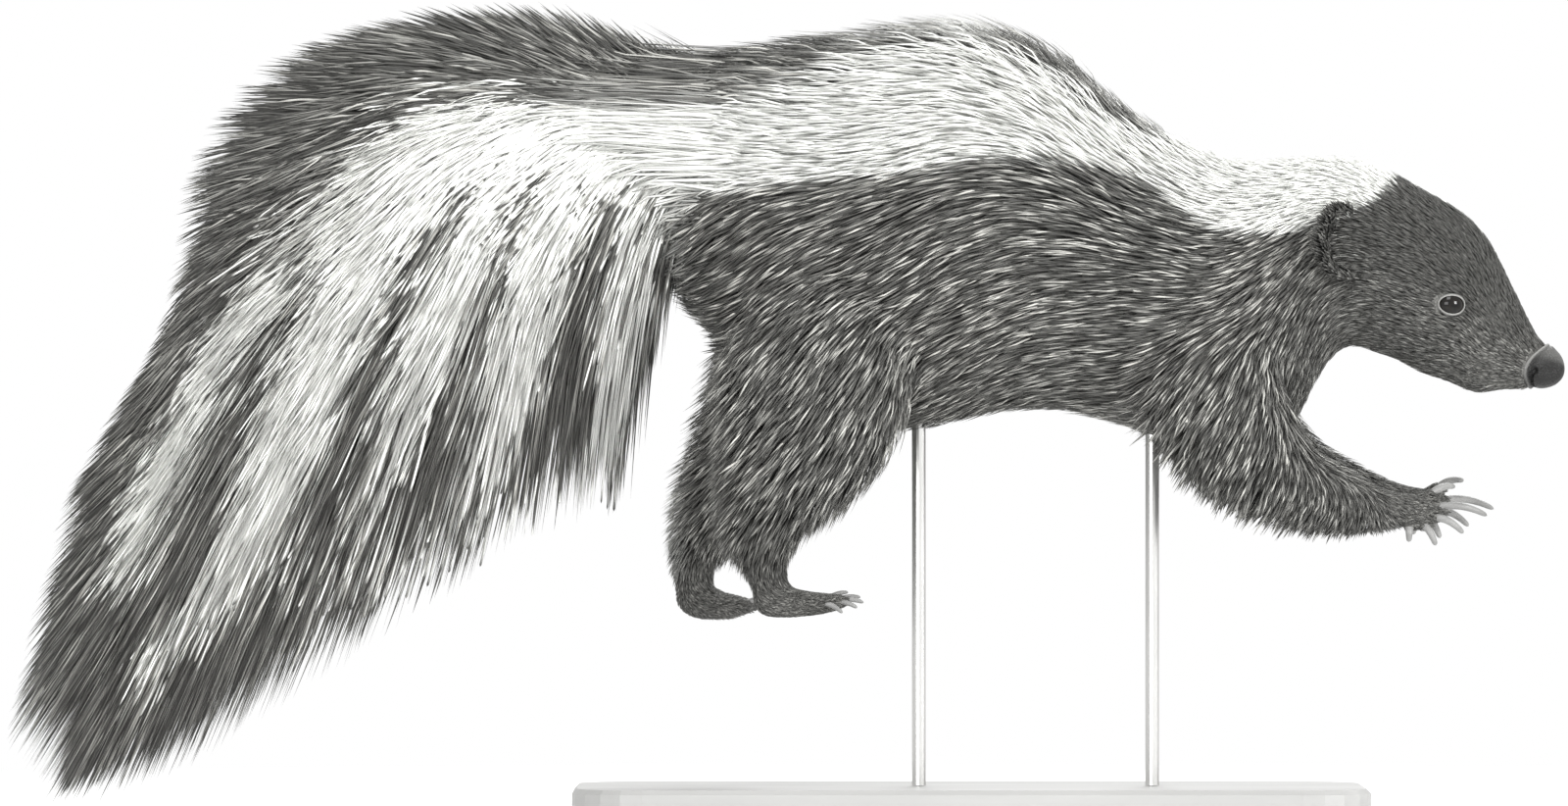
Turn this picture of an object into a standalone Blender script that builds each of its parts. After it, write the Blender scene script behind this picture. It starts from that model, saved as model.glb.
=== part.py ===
"""A striped skunk in mid bound, life size, held over a plain display stand.

The nose points along +X, +Y is the animal's left side and the origin is the middle of the
stand's underside. Every length is in metres.
"""

import math
import random

import bmesh
import bpy
import numpy as np
from mathutils import Matrix, Vector
from mathutils.bvhtree import BVHTree

GAP = 0.0003  # left between two nodes that meet
SIDES = (("right", -1), ("left", 1))
ACROSS = np.array((0.0, 1.0, 0.0))

# The trunk from rump to muzzle, out to the tips of the coat. Each row holds the back's x and z,
# the belly's x and z, the half width, and the coat's depth on the back, the flank and the belly.
TRUNK = np.array((
    (-0.107, 0.331, -0.111, 0.210, 0.046, 0.024, 0.014, 0.010),
    (-0.084, 0.334, -0.084, 0.181, 0.058, 0.026, 0.014, 0.010),
    (-0.055, 0.338, -0.050, 0.164, 0.064, 0.026, 0.014, 0.010),
    (-0.025, 0.342, -0.021, 0.164, 0.066, 0.026, 0.014, 0.010),
    (0.004, 0.343, 0.008, 0.170, 0.064, 0.026, 0.013, 0.010),
    (0.036, 0.331, 0.032, 0.172, 0.060, 0.024, 0.012, 0.010),
    (0.061, 0.310, 0.055, 0.168, 0.057, 0.020, 0.012, 0.010),
    (0.086, 0.294, 0.080, 0.160, 0.055, 0.016, 0.011, 0.009),
    (0.107, 0.285, 0.105, 0.150, 0.052, 0.012, 0.010, 0.008),
    (0.124, 0.282, 0.134, 0.162, 0.046, 0.010, 0.008, 0.006),
    (0.141, 0.283, 0.149, 0.188, 0.040, 0.008, 0.006, 0.005),
    (0.158, 0.283, 0.162, 0.200, 0.037, 0.006, 0.005, 0.004),
    (0.174, 0.279, 0.174, 0.197, 0.038, 0.005, 0.004, 0.004),
    (0.191, 0.270, 0.185, 0.193, 0.036, 0.004, 0.004, 0.003),
    (0.208, 0.260, 0.195, 0.188, 0.031, 0.003, 0.003, 0.003),
    (0.221, 0.248, 0.206, 0.184, 0.025, 0.003, 0.003, 0.003),
    (0.230, 0.231, 0.216, 0.180, 0.018, 0.002, 0.002, 0.002),
    (0.238, 0.215, 0.229, 0.181, 0.0125, 0.002, 0.002, 0.002),
    (0.244, 0.204, 0.238, 0.181, 0.0095, 0.0015, 0.0015, 0.0015),
))
RUMP_DOME = 0.012  # how far the rump swells out behind the first row

# The tail, arching back from the rump and then down. Each row holds x and z of the bone, of the
# bend and the tip of the hair on its upper side, of the bend and the tip of the hair below, and
# the plume's half width.
TAIL = np.array((
    (-0.122, 0.286, -0.147, 0.323, -0.181, 0.346, -0.141, 0.252, -0.150, 0.137, 0.046),
    (-0.164, 0.296, -0.202, 0.332, -0.239, 0.344, -0.171, 0.220, -0.186, 0.126, 0.055),
    (-0.206, 0.294, -0.252, 0.323, -0.298, 0.323, -0.205, 0.190, -0.238, 0.090, 0.061),
    (-0.248, 0.269, -0.294, 0.294, -0.332, 0.281, -0.245, 0.160, -0.290, 0.056, 0.061),
    (-0.281, 0.227, -0.319, 0.244, -0.347, 0.210, -0.285, 0.125, -0.330, 0.029, 0.056),
    (-0.311, 0.176, -0.353, 0.172, -0.386, 0.137, -0.326, 0.086, -0.362, 0.013, 0.049),
    (-0.332, 0.130, -0.374, 0.097, -0.411, 0.036, -0.357, 0.063, -0.391, 0.008, 0.038),
))
TAIL_ROOT = (-0.100, 0.285, 0.030, 0.024)  # x, z, half height and half width inside the rump
TAIL_CORE = 0.45  # how far out along the hair the solid core of the plume reaches
TAIL_DOME = 0.012
TAIL_CUTS = (1.6, 3.6)  # rows at which the tail is parted into its lengths
REGION_SPREAD = 2.0  # how much wider than the plume the cuts through it are
REGION_OUT = 1.25  # how far out along the hair they run
REGION_SIDES = 10

# Limbs from the trunk outwards, out to the tips of the coat. Each row holds x, y, z of the
# middle, the half depth in the side view, the half width and the coat's depth.
HIND_LIMB = {
    "right": (
        (-0.061, 0.034, 0.232, 0.026, 0.022, 0.010),
        (-0.062, 0.040, 0.200, 0.042, 0.030, 0.012),
        (-0.068, 0.042, 0.170, 0.040, 0.029, 0.012),
        (-0.082, 0.041, 0.143, 0.026, 0.022, 0.010),
        (-0.088, 0.039, 0.123, 0.0175, 0.016, 0.007),
        (-0.088, 0.038, 0.109, 0.0105, 0.010, 0.003),
        (-0.087, 0.037, 0.101, 0.0092, 0.0086, 0.002),
    ),
    "left": (
        (-0.061, 0.034, 0.232, 0.026, 0.022, 0.010),
        (-0.064, 0.040, 0.200, 0.040, 0.030, 0.012),
        (-0.077, 0.042, 0.168, 0.037, 0.028, 0.012),
        (-0.098, 0.041, 0.142, 0.025, 0.021, 0.010),
        (-0.113, 0.039, 0.123, 0.015, 0.014, 0.006),
        (-0.119, 0.038, 0.109, 0.0090, 0.0090, 0.003),
        (-0.119, 0.037, 0.101, 0.0082, 0.0082, 0.002),
    ),
}
FORE_LIMB = {
    "right": (
        (0.094, 0.028, 0.220, 0.022, 0.018, 0.008),
        (0.103, 0.036, 0.188, 0.030, 0.021, 0.010),
        (0.116, 0.036, 0.164, 0.026, 0.020, 0.010),
        (0.134, 0.033, 0.146, 0.0185, 0.0165, 0.008),
        (0.157, 0.030, 0.136, 0.0135, 0.0125, 0.005),
        (0.173, 0.028, 0.132, 0.0088, 0.0090, 0.002),
        (0.181, 0.027, 0.131, 0.0075, 0.0085, 0.0015),
    ),
    "left": (
        (0.096, 0.028, 0.220, 0.022, 0.018, 0.008),
        (0.106, 0.036, 0.189, 0.030, 0.021, 0.010),
        (0.120, 0.036, 0.166, 0.025, 0.020, 0.010),
        (0.139, 0.033, 0.149, 0.0180, 0.0165, 0.008),
        (0.162, 0.030, 0.139, 0.0130, 0.0125, 0.005),
        (0.178, 0.028, 0.135, 0.0088, 0.0090, 0.002),
        (0.186, 0.027, 0.134, 0.0075, 0.0085, 0.0015),
    ),
}

CORE = 0.5  # the part of the coat's depth that the solid core under the locks leaves out
HEAD_SHARE = 0.2  # the part of the head's short coat that its form leaves out
HEAD_ROW = 10  # the row of the trunk where the head's own form starts

# Rows of locks: the row of the form that each grows from, how many stand round it, their length
# and their width
TRUNK_LOCKS = (
    (10.3, 8, 0.034, 0.028),
    (8.9, 8, 0.044, 0.034),
    (7.4, 8, 0.050, 0.042),
    (5.9, 9, 0.054, 0.041),
    (4.3, 8, 0.056, 0.045),
    (2.7, 8, 0.056, 0.045),
    (1.3, 8, 0.052, 0.042),
    (0.2, 8, 0.040, 0.034),
)
HIND_LOCKS = ((1.2, 4, 0.046, 0.032), (2.3, 4, 0.042, 0.027), (3.4, 3, 0.028, 0.019))
FORE_LOCKS = ((1.3, 4, 0.036, 0.024), (2.5, 4, 0.032, 0.019), (3.6, 3, 0.024, 0.013))
# On the tail: the row of the form where the first locks grow, the step to the next ones, and
# how many stand round it at each
TAIL_LOCK_START, TAIL_LOCK_STEP = 0.28, 0.80
TAIL_LOCK_COUNTS = (8, 8, 8, 8, 8, 7, 6, 5)
TAIL_LOCK_WIDTH = 0.037
TAIL_LOCK_OUT = (0.30, 0.52, 0.77, 1.0)  # how far out along the hair a lock's points lie
LOCK_STEPS = (0.0, 0.36, 0.70, 1.0)  # where a lock's points lie along it
LOCK_SHARES = (1.15, 0.60, 0.24)  # how deep in the coat they lie, as in trunk_point, before the tip
LOCK_TIP = 0.10  # the deepest that a lock's tip lies in the coat
LOCK_LENGTHS = (0.88, 1.12)  # the spread of the locks' lengths
LOCK_BREADTHS = (0.9, 1.1)  # the spread of their widths
LIMB_LOCK_TURN = (-1.9, 1.6)  # the part of a limb's round that carries locks
LOCK_THICKNESS = 0.0032
LOCK_WIDTHS = (0.60, 1.0, 0.80, 0.0)  # along a lock, as parts of its width
LIMB_TEST = 0.2  # share of the limb forms that the trunk's locks keep out of
SLOPE = 0.36  # how steeply the flank's coat runs down as it runs back
SEED = 8

LIMB_DOMES = (0.012, 0.004)  # how far a limb's form swells out past its first and last rows
LIMB_MARGIN = 0.004  # how far outside a limb's coat the cut around it runs

# Cuts across the trunk, each through two points of the side view
HEAD_CUT = ((0.1450, 0.283), (0.1520, 0.193))
NECK_CUT = ((0.1140, 0.283), (0.1260, 0.149))

# Head
NOSE_MIDDLE = (0.2462, 0.0, 0.1905)
NOSE_RADII = (0.0088, 0.0082, 0.0086)
EYE_MIDDLE = (0.2050, 0.2180)  # x and z in the side view
EYE_RADIUS = 0.0046
EYE_BULGE = 0.0016  # how far the eye stands out of the head's side
LID_LONG, LID_HIGH, LID_RADIUS = 0.0045, 0.0034, 0.0010
LID_SUNK = 0.0003
EAR_MIDDLE = (0.1570, 0.2450)
EAR_RADII = (0.0070, 0.0052, 0.0136)
EAR_CUP = (0.0052, 0.0046, 0.0108)
EAR_CUP_SHIFT = (0.003, 0.0045, 0.001)  # from the ear's middle: forward, outward and up
EAR_OUT = 0.001
EAR_YAW, EAR_ROLL = -0.35, 0.15
MOUTH_LINE = (
    (0.2350, 0.1850),
    (0.2290, 0.1845),
    (0.2220, 0.1850),
    (0.2140, 0.1862),
    (0.2060, 0.1885),
    (0.1985, 0.1920),
)
LIP_RADIUS = 0.0012
LIP_SUNK = 0.55  # how deep a lip lies in the head, as a part of its radius
MOUTH_GROOVE = 0.0007
# The nostril's slit on the left, from its front round to the side, and its radii
NOSTRIL = ((0.2560, 0.0026, 0.1908), (0.2525, 0.0062, 0.1915), (0.2465, 0.0092, 0.1900))
NOSTRIL_RADII = (0.0013, 0.0014, 0.0009)
BALL_PARTS = (10, 6)  # a ball's faces round it and from pole to pole

# Forepaws. Claws run from root to tip, forward and outward of the palm's middle, and curl
# towards the palm.
PALM = (0.1885, 0.027, 0.1305)
PALM_RINGS = (
    (-0.0045, 0.0060, 0.0078),
    (0.0005, 0.0058, 0.0080),
    (0.0045, 0.0048, 0.0066),
    (0.0068, 0.0030, 0.0042),
)
PALM_FRONT = 0.0078
FORE_CLAWS = {
    "1": ((-0.0020, 0.0096), (-0.0020, 0.0152), 0.0025),
    "2": ((0.0050, 0.0092), (0.0095, 0.0160), 0.0040),
    "3": ((0.0098, 0.0046), (0.0215, 0.0085), 0.0055),
    "4": ((0.0110, -0.0015), (0.0320, -0.0015), 0.0065),
    "5": ((0.0082, -0.0084), (0.0185, -0.0158), 0.0050),
}
FORE_TOE_RADII = (0.0032, 0.0021)  # at its root in the palm and at the claw
CLAW_RADIUS = 0.0017
CLAW_KNEE = 0.6  # how high a claw's bend stands over its chord, as a part of its curl
FORE_SHIFTS = {"right": (0.0, 0.0, 0.0), "left": (0.0050, 0.0, 0.0025)}  # of the whole paw

# Hind feet: x, y, z of the heel, the turn outwards and the tilt of the sole
HIND_FEET = {
    "right": (-0.0861, 0.037, 0.0916, 0.10, 0.0),
    "left": (-0.1195, 0.037, 0.0916, 0.80, 0.12),
}
# Forward of the heel, lift, half height and half width
FOOT_RINGS = (
    (-0.0050, 0.0, 0.0050, 0.0054),
    (0.0, 0.0, 0.0074, 0.0072),
    (0.008, -0.0006, 0.0064, 0.0078),
    (0.016, -0.0010, 0.0050, 0.0092),
    (0.024, -0.0008, 0.0040, 0.0098),
    (0.029, -0.0006, 0.0028, 0.0076),
)
FOOT_ENDS = (-0.0078, 0.033)  # the heel's and the pad's rounded ends, forward of the heel
# Each toe's splay and length
HIND_TOES = {
    "1": (-0.42, 0.0150),
    "2": (-0.21, 0.0195),
    "3": (0.0, 0.0210),
    "4": (0.21, 0.0195),
    "5": (0.42, 0.0150),
}
TOE_ROOT = (0.014, 0.011)  # how far forward of the heel the toes start, and how far apart
HIND_TOE_RADII = (0.0034, 0.0023)
HIND_CLAW = ((0.0, 0.0), (0.004, 0.001), (0.0068, -0.0018))  # along the toe and up from its end
HIND_CLAW_RADIUS = 0.0012

# Stand
BASE_LENGTH, BASE_WIDTH, BASE_HEIGHT = 0.340, 0.150, 0.012
BASE_CORNER = 0.030
BASE_BEVEL = 0.002
ROD_RADIUS = 0.003
ROD_PLACES = {"front": 0.078, "back": -0.022}
ROD_CLEAR = 0.010  # how far the locks of the belly keep from a rod's axis

# A part of the node's name, then its colour, roughness and metallic value; the first that fits
FINISHES = (
    ("stand_base", (0.62, 0.60, 0.56, 1.0), 0.6, 0.0),
    ("stand_rod", (0.55, 0.56, 0.57, 1.0), 0.3, 1.0),
    ("claw", (0.24, 0.23, 0.21, 1.0), 0.4, 0.0),
    ("eye", (0.010, 0.010, 0.010, 1.0), 0.1, 0.0),
    ("nose", (0.12, 0.12, 0.12, 1.0), 0.4, 0.0),
    ("tail", (0.30, 0.30, 0.29, 1.0), 0.8, 0.0),
    ("", (0.055, 0.054, 0.052, 1.0), 0.8, 0.0),
)
SMOOTH_BELOW = math.radians(35)  # edges flatter than this are shaded smooth


def clear_scene():
    for obj in list(bpy.data.objects):
        bpy.data.objects.remove(obj)


def finish(obj):
    """Gives a node its own material, and smooth shading except along its sharp edges."""
    colour, roughness, metallic = next(rest for part, *rest in FINISHES if part in obj.name)
    made = bpy.data.materials.new(obj.name)
    made.use_nodes = True
    shader = made.node_tree.nodes["Principled BSDF"]
    shader.inputs["Base Color"].default_value = colour
    shader.inputs["Roughness"].default_value = roughness
    shader.inputs["Metallic"].default_value = metallic
    obj.data.materials.append(made)
    obj.data.shade_smooth()
    obj.data.set_sharp_from_angle(angle=SMOOTH_BELOW)


def collection(name):
    made = bpy.data.collections.new(name)
    bpy.context.scene.collection.children.link(made)
    return made


def spline(rows, at):
    """Values between the rows, on a smooth curve through them that runs on straight past its ends."""
    rows = np.asarray(rows, float)
    last = len(rows) - 1
    wanted = np.atleast_1d(np.asarray(at, float))
    at = np.clip(wanted, 0, last)
    slope = np.where((wanted > last)[:, None], rows[-1] - rows[-2], rows[1] - rows[0])
    past = (wanted - at)[:, None] * slope
    low = np.minimum(at.astype(int), last - 1)
    part = (at - low)[:, None]
    before, after = rows[np.maximum(low - 1, 0)], rows[np.minimum(low + 2, last)]
    start, end = rows[low], rows[low + 1]
    rise = (end - before) / 2
    fall = (after - start) / 2
    return (
        start * (2 * part**3 - 3 * part**2 + 1)
        + end * (3 * part**2 - 2 * part**3)
        + rise * (part**3 - 2 * part**2 + part)
        + fall * (part**3 - part**2)
        + past
    )


def unit(vectors):
    return vectors / np.linalg.norm(vectors, axis=-1, keepdims=True)


def in_side_view(pairs, y=0.0):
    """Points of the side view, x and z, as points in space."""
    return np.stack([pairs[..., 0], np.broadcast_to(y, pairs[..., 0].shape), pairs[..., 1]], -1)


def trunk_point(along, angle, share):
    """A point of the trunk. along counts rows from the rump, angle is 90 degrees on the back and
    0 on the left flank, and share is the part of the coat's depth that is taken off."""
    row = spline(TRUNK, along)
    back, belly = in_side_view(row[:, 0:2]), in_side_view(row[:, 2:4])
    middle, height = (back + belly) / 2, np.linalg.norm(back - belly, axis=1) / 2
    rise, out = np.sin(angle), np.cos(angle)
    coat = np.where(rise > 0, row[:, 5], row[:, 7])
    up = unit(back - belly) * (rise * (height - share * coat))[:, None]
    return middle + up + ACROSS * (out * (row[:, 4] - share * row[:, 6]))[:, None]


def limb_point(rows, side, along, angle, share, grow=0.0):
    """A point of a limb. angle is 0 on the outer side and 90 degrees on its front."""
    rows = np.asarray(rows) * (1, side, 1, 1, 1, 1)
    row = spline(rows, along)
    after, before = (spline(rows, np.asarray(along) + step)[:, :3] for step in (0.02, -0.02))
    way = unit(after - before)
    outward = unit(ACROSS * side - way * (way @ (ACROSS * side))[:, None])
    front = np.cross(outward, way) * side
    deep = row[:, 3] - share * row[:, 5] + grow
    wide = row[:, 4] - share * row[:, 5] + grow
    forth = front * (np.sin(angle) * deep)[:, None]
    return row[:, :3] + forth + outward * (np.cos(angle) * wide)[:, None]


def bend(start, middle, end, along):
    """A point of the curve from start to end that bends towards middle."""
    part = np.asarray(along)[..., None]
    return start * (1 - part) ** 2 + middle * 2 * part * (1 - part) + end * part**2


def tail_point(along, angle, out):
    """A point of the tail's plume: out is 0 at the bone and 1 at the hair's tip, and angle is 90
    degrees above the bone and 0 on its left."""
    row = spline(TAIL, along)
    bone = row[:, 0:2]
    above = bend(bone, row[:, 2:4], row[:, 4:6], out)
    below = bend(bone, row[:, 6:8], row[:, 8:10], out)
    share = ((1 + np.sin(angle)) / 2)[:, None]
    spread = np.asarray(out) ** 0.6 * (1.25 - 0.45 * np.asarray(out))
    return in_side_view(above * share + below * (1 - share), np.cos(angle) * row[:, 10] * spread)


def closed_mesh(name, rings, tips=(None, None)):
    """One closed body through rings of points. A tip is a point that closes an end, in place of
    a flat cap."""
    mesh = bmesh.new()
    loops = [[mesh.verts.new(point) for point in ring] for ring in rings]
    for lower, upper in zip(loops, loops[1:]):
        for here in range(len(lower)):
            there = (here + 1) % len(lower)
            mesh.faces.new((lower[here], lower[there], upper[there], upper[here]))
    for loop, tip in zip((loops[0], loops[-1]), tips):
        if tip is None:
            mesh.faces.new(loop)
            continue
        point = mesh.verts.new(tip)
        for here in range(len(loop)):
            mesh.faces.new((loop[here], loop[(here + 1) % len(loop)], point))
    return object_of(name, mesh)


def object_of(name, mesh):
    """An object of this closed mesh, in triangles that face out."""
    bmesh.ops.triangulate(mesh, faces=mesh.faces)
    bmesh.ops.recalc_face_normals(mesh, faces=mesh.faces)
    data = bpy.data.meshes.new(name)
    mesh.to_mesh(data)
    mesh.free()
    return bpy.data.objects.new(name, data)


def ring_angles(count):
    return np.arange(count) * 2 * math.pi / count


def domed(rings, end, depth, steps=2):
    """The rings with a rounded end of this depth, and the point that closes it."""
    ring = np.array(rings[end])
    middle = ring.mean(0)
    inner = np.array(rings[1 if end == 0 else -2]).mean(0)
    way = (middle - inner) / np.linalg.norm(middle - inner)
    turns = [math.pi / 2 * (step + 1) / (steps + 1) for step in range(steps)]
    more = [middle + (ring - middle) * math.cos(turn) + way * depth * math.sin(turn) for turn in turns]
    return (more[::-1] + list(rings) if end == 0 else list(rings) + more), middle + way * depth


def body_core():
    """The solid under the locks of the neck and torso."""
    angles = ring_angles(12)
    rings = [trunk_point(np.full(12, at), angles, CORE) for at in np.linspace(0, HEAD_ROW + 0.6, 9)]
    rings, tip = domed(rings, 0, RUMP_DOME, 1)
    return closed_mesh("core", rings, (tip, None))


def head_form():
    """The head with its short coat, from inside the neck to the muzzle."""
    angles = ring_angles(20)
    places = np.arange(HEAD_ROW, len(TRUNK))
    rings = [trunk_point(np.full(20, at), angles, HEAD_SHARE) for at in places]
    return closed_mesh("head", rings)


def limb_form(name, rows, side, share, sides=10):
    angles = ring_angles(sides)
    rings = [limb_point(rows, side, np.full(sides, at), angles, share) for at in range(len(rows))]
    rings, start = domed(rings, 0, LIMB_DOMES[0], 1)
    rings, end = domed(rings, -1, LIMB_DOMES[1], 1)
    return closed_mesh(name, rings, (start, end))


def tail_form(out, sides=12, rings_count=8):
    """The plume's form at this distance out along its hair."""
    angles = ring_angles(sides)
    root_x, root_z, root_high, root_wide = TAIL_ROOT
    root = np.stack([
        np.full(sides, root_x),
        np.cos(angles) * root_wide,
        root_z + np.sin(angles) * root_high,
    ], 1)
    rings = [root]
    for at in np.linspace(0, len(TAIL) - 1, rings_count):
        above = tail_point([at], np.array([math.pi / 2]), np.array([out]))[0]
        below = tail_point([at], np.array([-math.pi / 2]), np.array([out]))[0]
        beside = tail_point([at], np.array([0.0]), np.array([out]))[0]
        middle, half = (above + below) / 2, (above - below) / 2
        wide = ACROSS * beside[1]
        rings.append(middle + np.outer(np.sin(angles), half) + np.outer(np.cos(angles), wide))
    rings, tip = domed(rings, -1, TAIL_DOME)
    return closed_mesh("tail", rings, (None, tip))


def lock(path, facing, width):
    """A flat, tapered lock along the path, a low ridge on the side that it faces."""
    way = unit(np.gradient(path, axis=0))
    across = unit(np.cross(way, facing))
    upward = np.cross(across, way)
    rings = []
    places = np.linspace(0, 1, len(path))
    wide = np.interp(places, np.linspace(0, 1, len(LOCK_WIDTHS)), LOCK_WIDTHS) * width / 2
    for point, side, up, half in zip(path[:-1], across, upward, wide):
        thick = LOCK_THICKNESS * (0.4 + 0.6 * half / wide.max())
        rings.append([point + side * half, point + up * thick, point - side * half])
    return closed_mesh("lock", rings, (None, path[-1]))


def coat_path(point_at, along, angle, length, spacing, way, draw):
    """A lock's path over a form, from deep in its core out to the tips of the coat, and the way
    it faces. spacing is the form's length for each of its rows and way is 1 or -1, the direction
    that the coat runs along them."""
    steps = np.array(LOCK_STEPS)
    share = np.array((*LOCK_SHARES, draw.uniform(0.0, LOCK_TIP)))
    length = length * draw.uniform(*LOCK_LENGTHS)
    reach = along + way * steps * length / spacing
    here, across = (point_at(np.array([along]), np.array([angle + turn]), 0.0) for turn in (0, math.pi))
    girth = np.linalg.norm(here - across) / 2
    drift = -math.cos(angle) * SLOPE * length / girth + draw.uniform(-0.06, 0.06)
    turn = angle + drift * steps
    path = np.array([point_at(np.array([at]), np.array([around]), depth)[0]
                     for at, around, depth in zip(reach, turn, share)])
    outer = np.array([point_at(np.array([at]), np.array([around]), -0.5)[0]
                      for at, around in zip(reach, turn)])
    inner = np.array([point_at(np.array([at]), np.array([around]), 1.0)[0]
                      for at, around in zip(reach, turn)])
    return path, unit(outer - inner)


def trunk_locks(draw):
    lengths = np.linalg.norm(np.diff(TRUNK[:, 0:2], axis=0), axis=1)
    limbs = [limb_tree(rows[name], side) for rows in (HIND_LIMB, FORE_LIMB) for name, side in SIDES]
    made = []
    for number, (along, count, length, width) in enumerate(TRUNK_LOCKS):
        spacing = lengths[min(int(along), len(lengths) - 1)]
        for step in range(count):
            turn = (step + (number % 2) / 2 + draw.uniform(-0.12, 0.12)) * 2 * math.pi / count
            start = along + draw.uniform(-0.1, 0.1)
            path, facing = coat_path(trunk_point, start, turn + math.pi / 2, length, spacing, -1, draw)
            if any(inside(tree, point) for tree in limbs for point in path[1:3]) or near_rod(path):
                continue
            made.append(lock(path, facing, width * draw.uniform(*LOCK_BREADTHS)))
    return made


def limb_locks(rows, side, table, draw):
    lengths = np.linalg.norm(np.diff(np.array(rows)[:, :3], axis=0), axis=1)
    made = []

    def point_at(along, angle, share):
        return limb_point(rows, side, along, angle, share)

    for number, (along, count, length, width) in enumerate(table):
        spacing = lengths[min(int(along), len(lengths) - 1)]
        shift = (number % 2) * (LIMB_LOCK_TURN[1] - LIMB_LOCK_TURN[0]) / 2 / count
        for angle in np.linspace(*LIMB_LOCK_TURN, count) + shift:
            path, facing = coat_path(point_at, along, angle, length, spacing, 1, draw)
            made.append(lock(path, facing, width * draw.uniform(*LOCK_BREADTHS)))
    return made


def tail_locks(draw):
    made = []
    for number, count in enumerate(TAIL_LOCK_COUNTS):
        along = TAIL_LOCK_START + number * TAIL_LOCK_STEP
        for step in range(count):
            angle = (step + (number % 2) / 2 + draw.uniform(-0.1, 0.1)) * 2 * math.pi / count
            at = min(max(along + draw.uniform(-0.12, 0.12), 0.05), len(TAIL) - 1.05)
            out = np.array(TAIL_LOCK_OUT) * draw.uniform(0.92, 1.0)
            turn = angle + draw.uniform(-0.08, 0.08) * np.array(LOCK_STEPS)
            path = tail_point(np.full(4, at), turn, out)
            after, before = (tail_point(np.full(4, at + step_on), turn, out) for step_on in (0.05, -0.05))
            beside = after - before
            facing = unit(np.cross(beside, np.gradient(path, axis=0)))
            facing *= np.where(facing[:, 1] * math.cos(angle) < 0, -1, 1)[:, None]
            made.append(lock(path, facing, TAIL_LOCK_WIDTH * draw.uniform(*LOCK_BREADTHS)))
    return made


def limb_tree(rows, side):
    form = limb_form("limb", rows, side, LIMB_TEST)
    mesh = bmesh.new()
    mesh.from_mesh(form.data)
    tree = BVHTree.FromBMesh(mesh)
    mesh.free()
    bpy.data.objects.remove(form)
    return tree


def inside(tree, point):
    place, normal, _, _ = tree.find_nearest(Vector(point))
    return (Vector(point) - place).dot(normal) < 0


def near_rod(path):
    """Whether a lock hangs where a rod of the stand reaches the belly."""
    return any(abs(y) < ROD_CLEAR and z < 0.2 and abs(x - place) < ROD_CLEAR
               for x, y, z in path for place in ROD_PLACES.values())


def link(obj, where):
    where.objects.link(obj)
    return obj


def settle(obj):
    """Turns the object's modifiers into its mesh."""
    graph = bpy.context.evaluated_depsgraph_get()
    data = bpy.data.meshes.new_from_object(obj.evaluated_get(graph))
    obj.modifiers.clear()
    old, obj.data = obj.data, data
    bpy.data.meshes.remove(old)


def cut(target, how, others):
    """Joins, cuts or trims the target with each of the others, which are then removed. The exact
    solver loses whole bodies on these forms, so every union and cut is by the manifold one."""
    for other in others:
        link(other, bpy.data.collections["cutters"])
        other.hide_render = True
        other.display_type = "WIRE"
        boolean = target.modifiers.new(how.lower(), "BOOLEAN")
        boolean.operation = how
        boolean.object = other
        boolean.solver = "MANIFOLD"
    settle(target)
    for other in others:
        bpy.data.objects.remove(other)
    return target


def fuse(target, pieces):
    """Joins the pieces to the target by one union, and removes them."""
    group = collection("pieces")
    for piece in pieces:
        link(piece, group)
    boolean = target.modifiers.new("fuse", "BOOLEAN")
    boolean.operation = "UNION"
    boolean.operand_type = "COLLECTION"
    boolean.collection = group
    boolean.solver = "MANIFOLD"
    settle(target)
    for piece in pieces:
        bpy.data.objects.remove(piece)
    bpy.data.collections.remove(group)
    return target


def copy_of(obj, name, where):
    made = obj.copy()
    made.data = obj.data.copy()
    made.name = name
    made.data.name = name
    return link(made, where)


def keep_largest(obj):
    """Keeps the largest closed surface of the object's mesh."""
    mesh = bmesh.new()
    mesh.from_mesh(obj.data)
    mesh.verts.ensure_lookup_table()
    left, groups = set(mesh.verts), []
    while left:
        group, edge = set(), [left.pop()]
        while edge:
            vert = edge.pop()
            group.add(vert)
            near = {link_edge.other_vert(vert) for link_edge in vert.link_edges} & left
            left -= near
            edge.extend(near)
        groups.append(group)
    groups.sort(key=len, reverse=True)
    for group in groups[1:]:
        bmesh.ops.delete(mesh, geom=list(group), context="VERTS")
    mesh.to_mesh(obj.data)
    mesh.free()
    return obj


def ball(name, middle, radii, turn=None):
    mesh = bmesh.new()
    bmesh.ops.create_uvsphere(mesh, u_segments=BALL_PARTS[0], v_segments=BALL_PARTS[1], radius=1.0)
    place = Matrix.Translation(middle) @ (turn or Matrix()) @ Matrix.Diagonal((*radii, 1.0))
    bmesh.ops.transform(mesh, matrix=place, verts=mesh.verts)
    return object_of(name, mesh)


def tube(name, points, radii, sides=8, pointed=False, start=None):
    """A round rod along the points, its first end facing along start if that is given. A pointed
    one runs out to a tip at the last point."""
    points = np.asarray(points, float)
    ways = unit(np.gradient(points, axis=0))
    if start is not None:
        ways[0] = start
    rings = []
    for point, way, radius in zip(points, ways, radii):
        across = unit(np.cross(way, ACROSS if abs(way[1]) < 0.9 else (0.0, 0.0, 1.0)))
        other = np.cross(way, across)
        turn = ring_angles(sides)
        rings.append(point + radius * (np.outer(np.cos(turn), across) + np.outer(np.sin(turn), other)))
    if pointed:
        return closed_mesh(name, rings[:-1], (None, points[-1]))
    return closed_mesh(name, rings)


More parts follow.
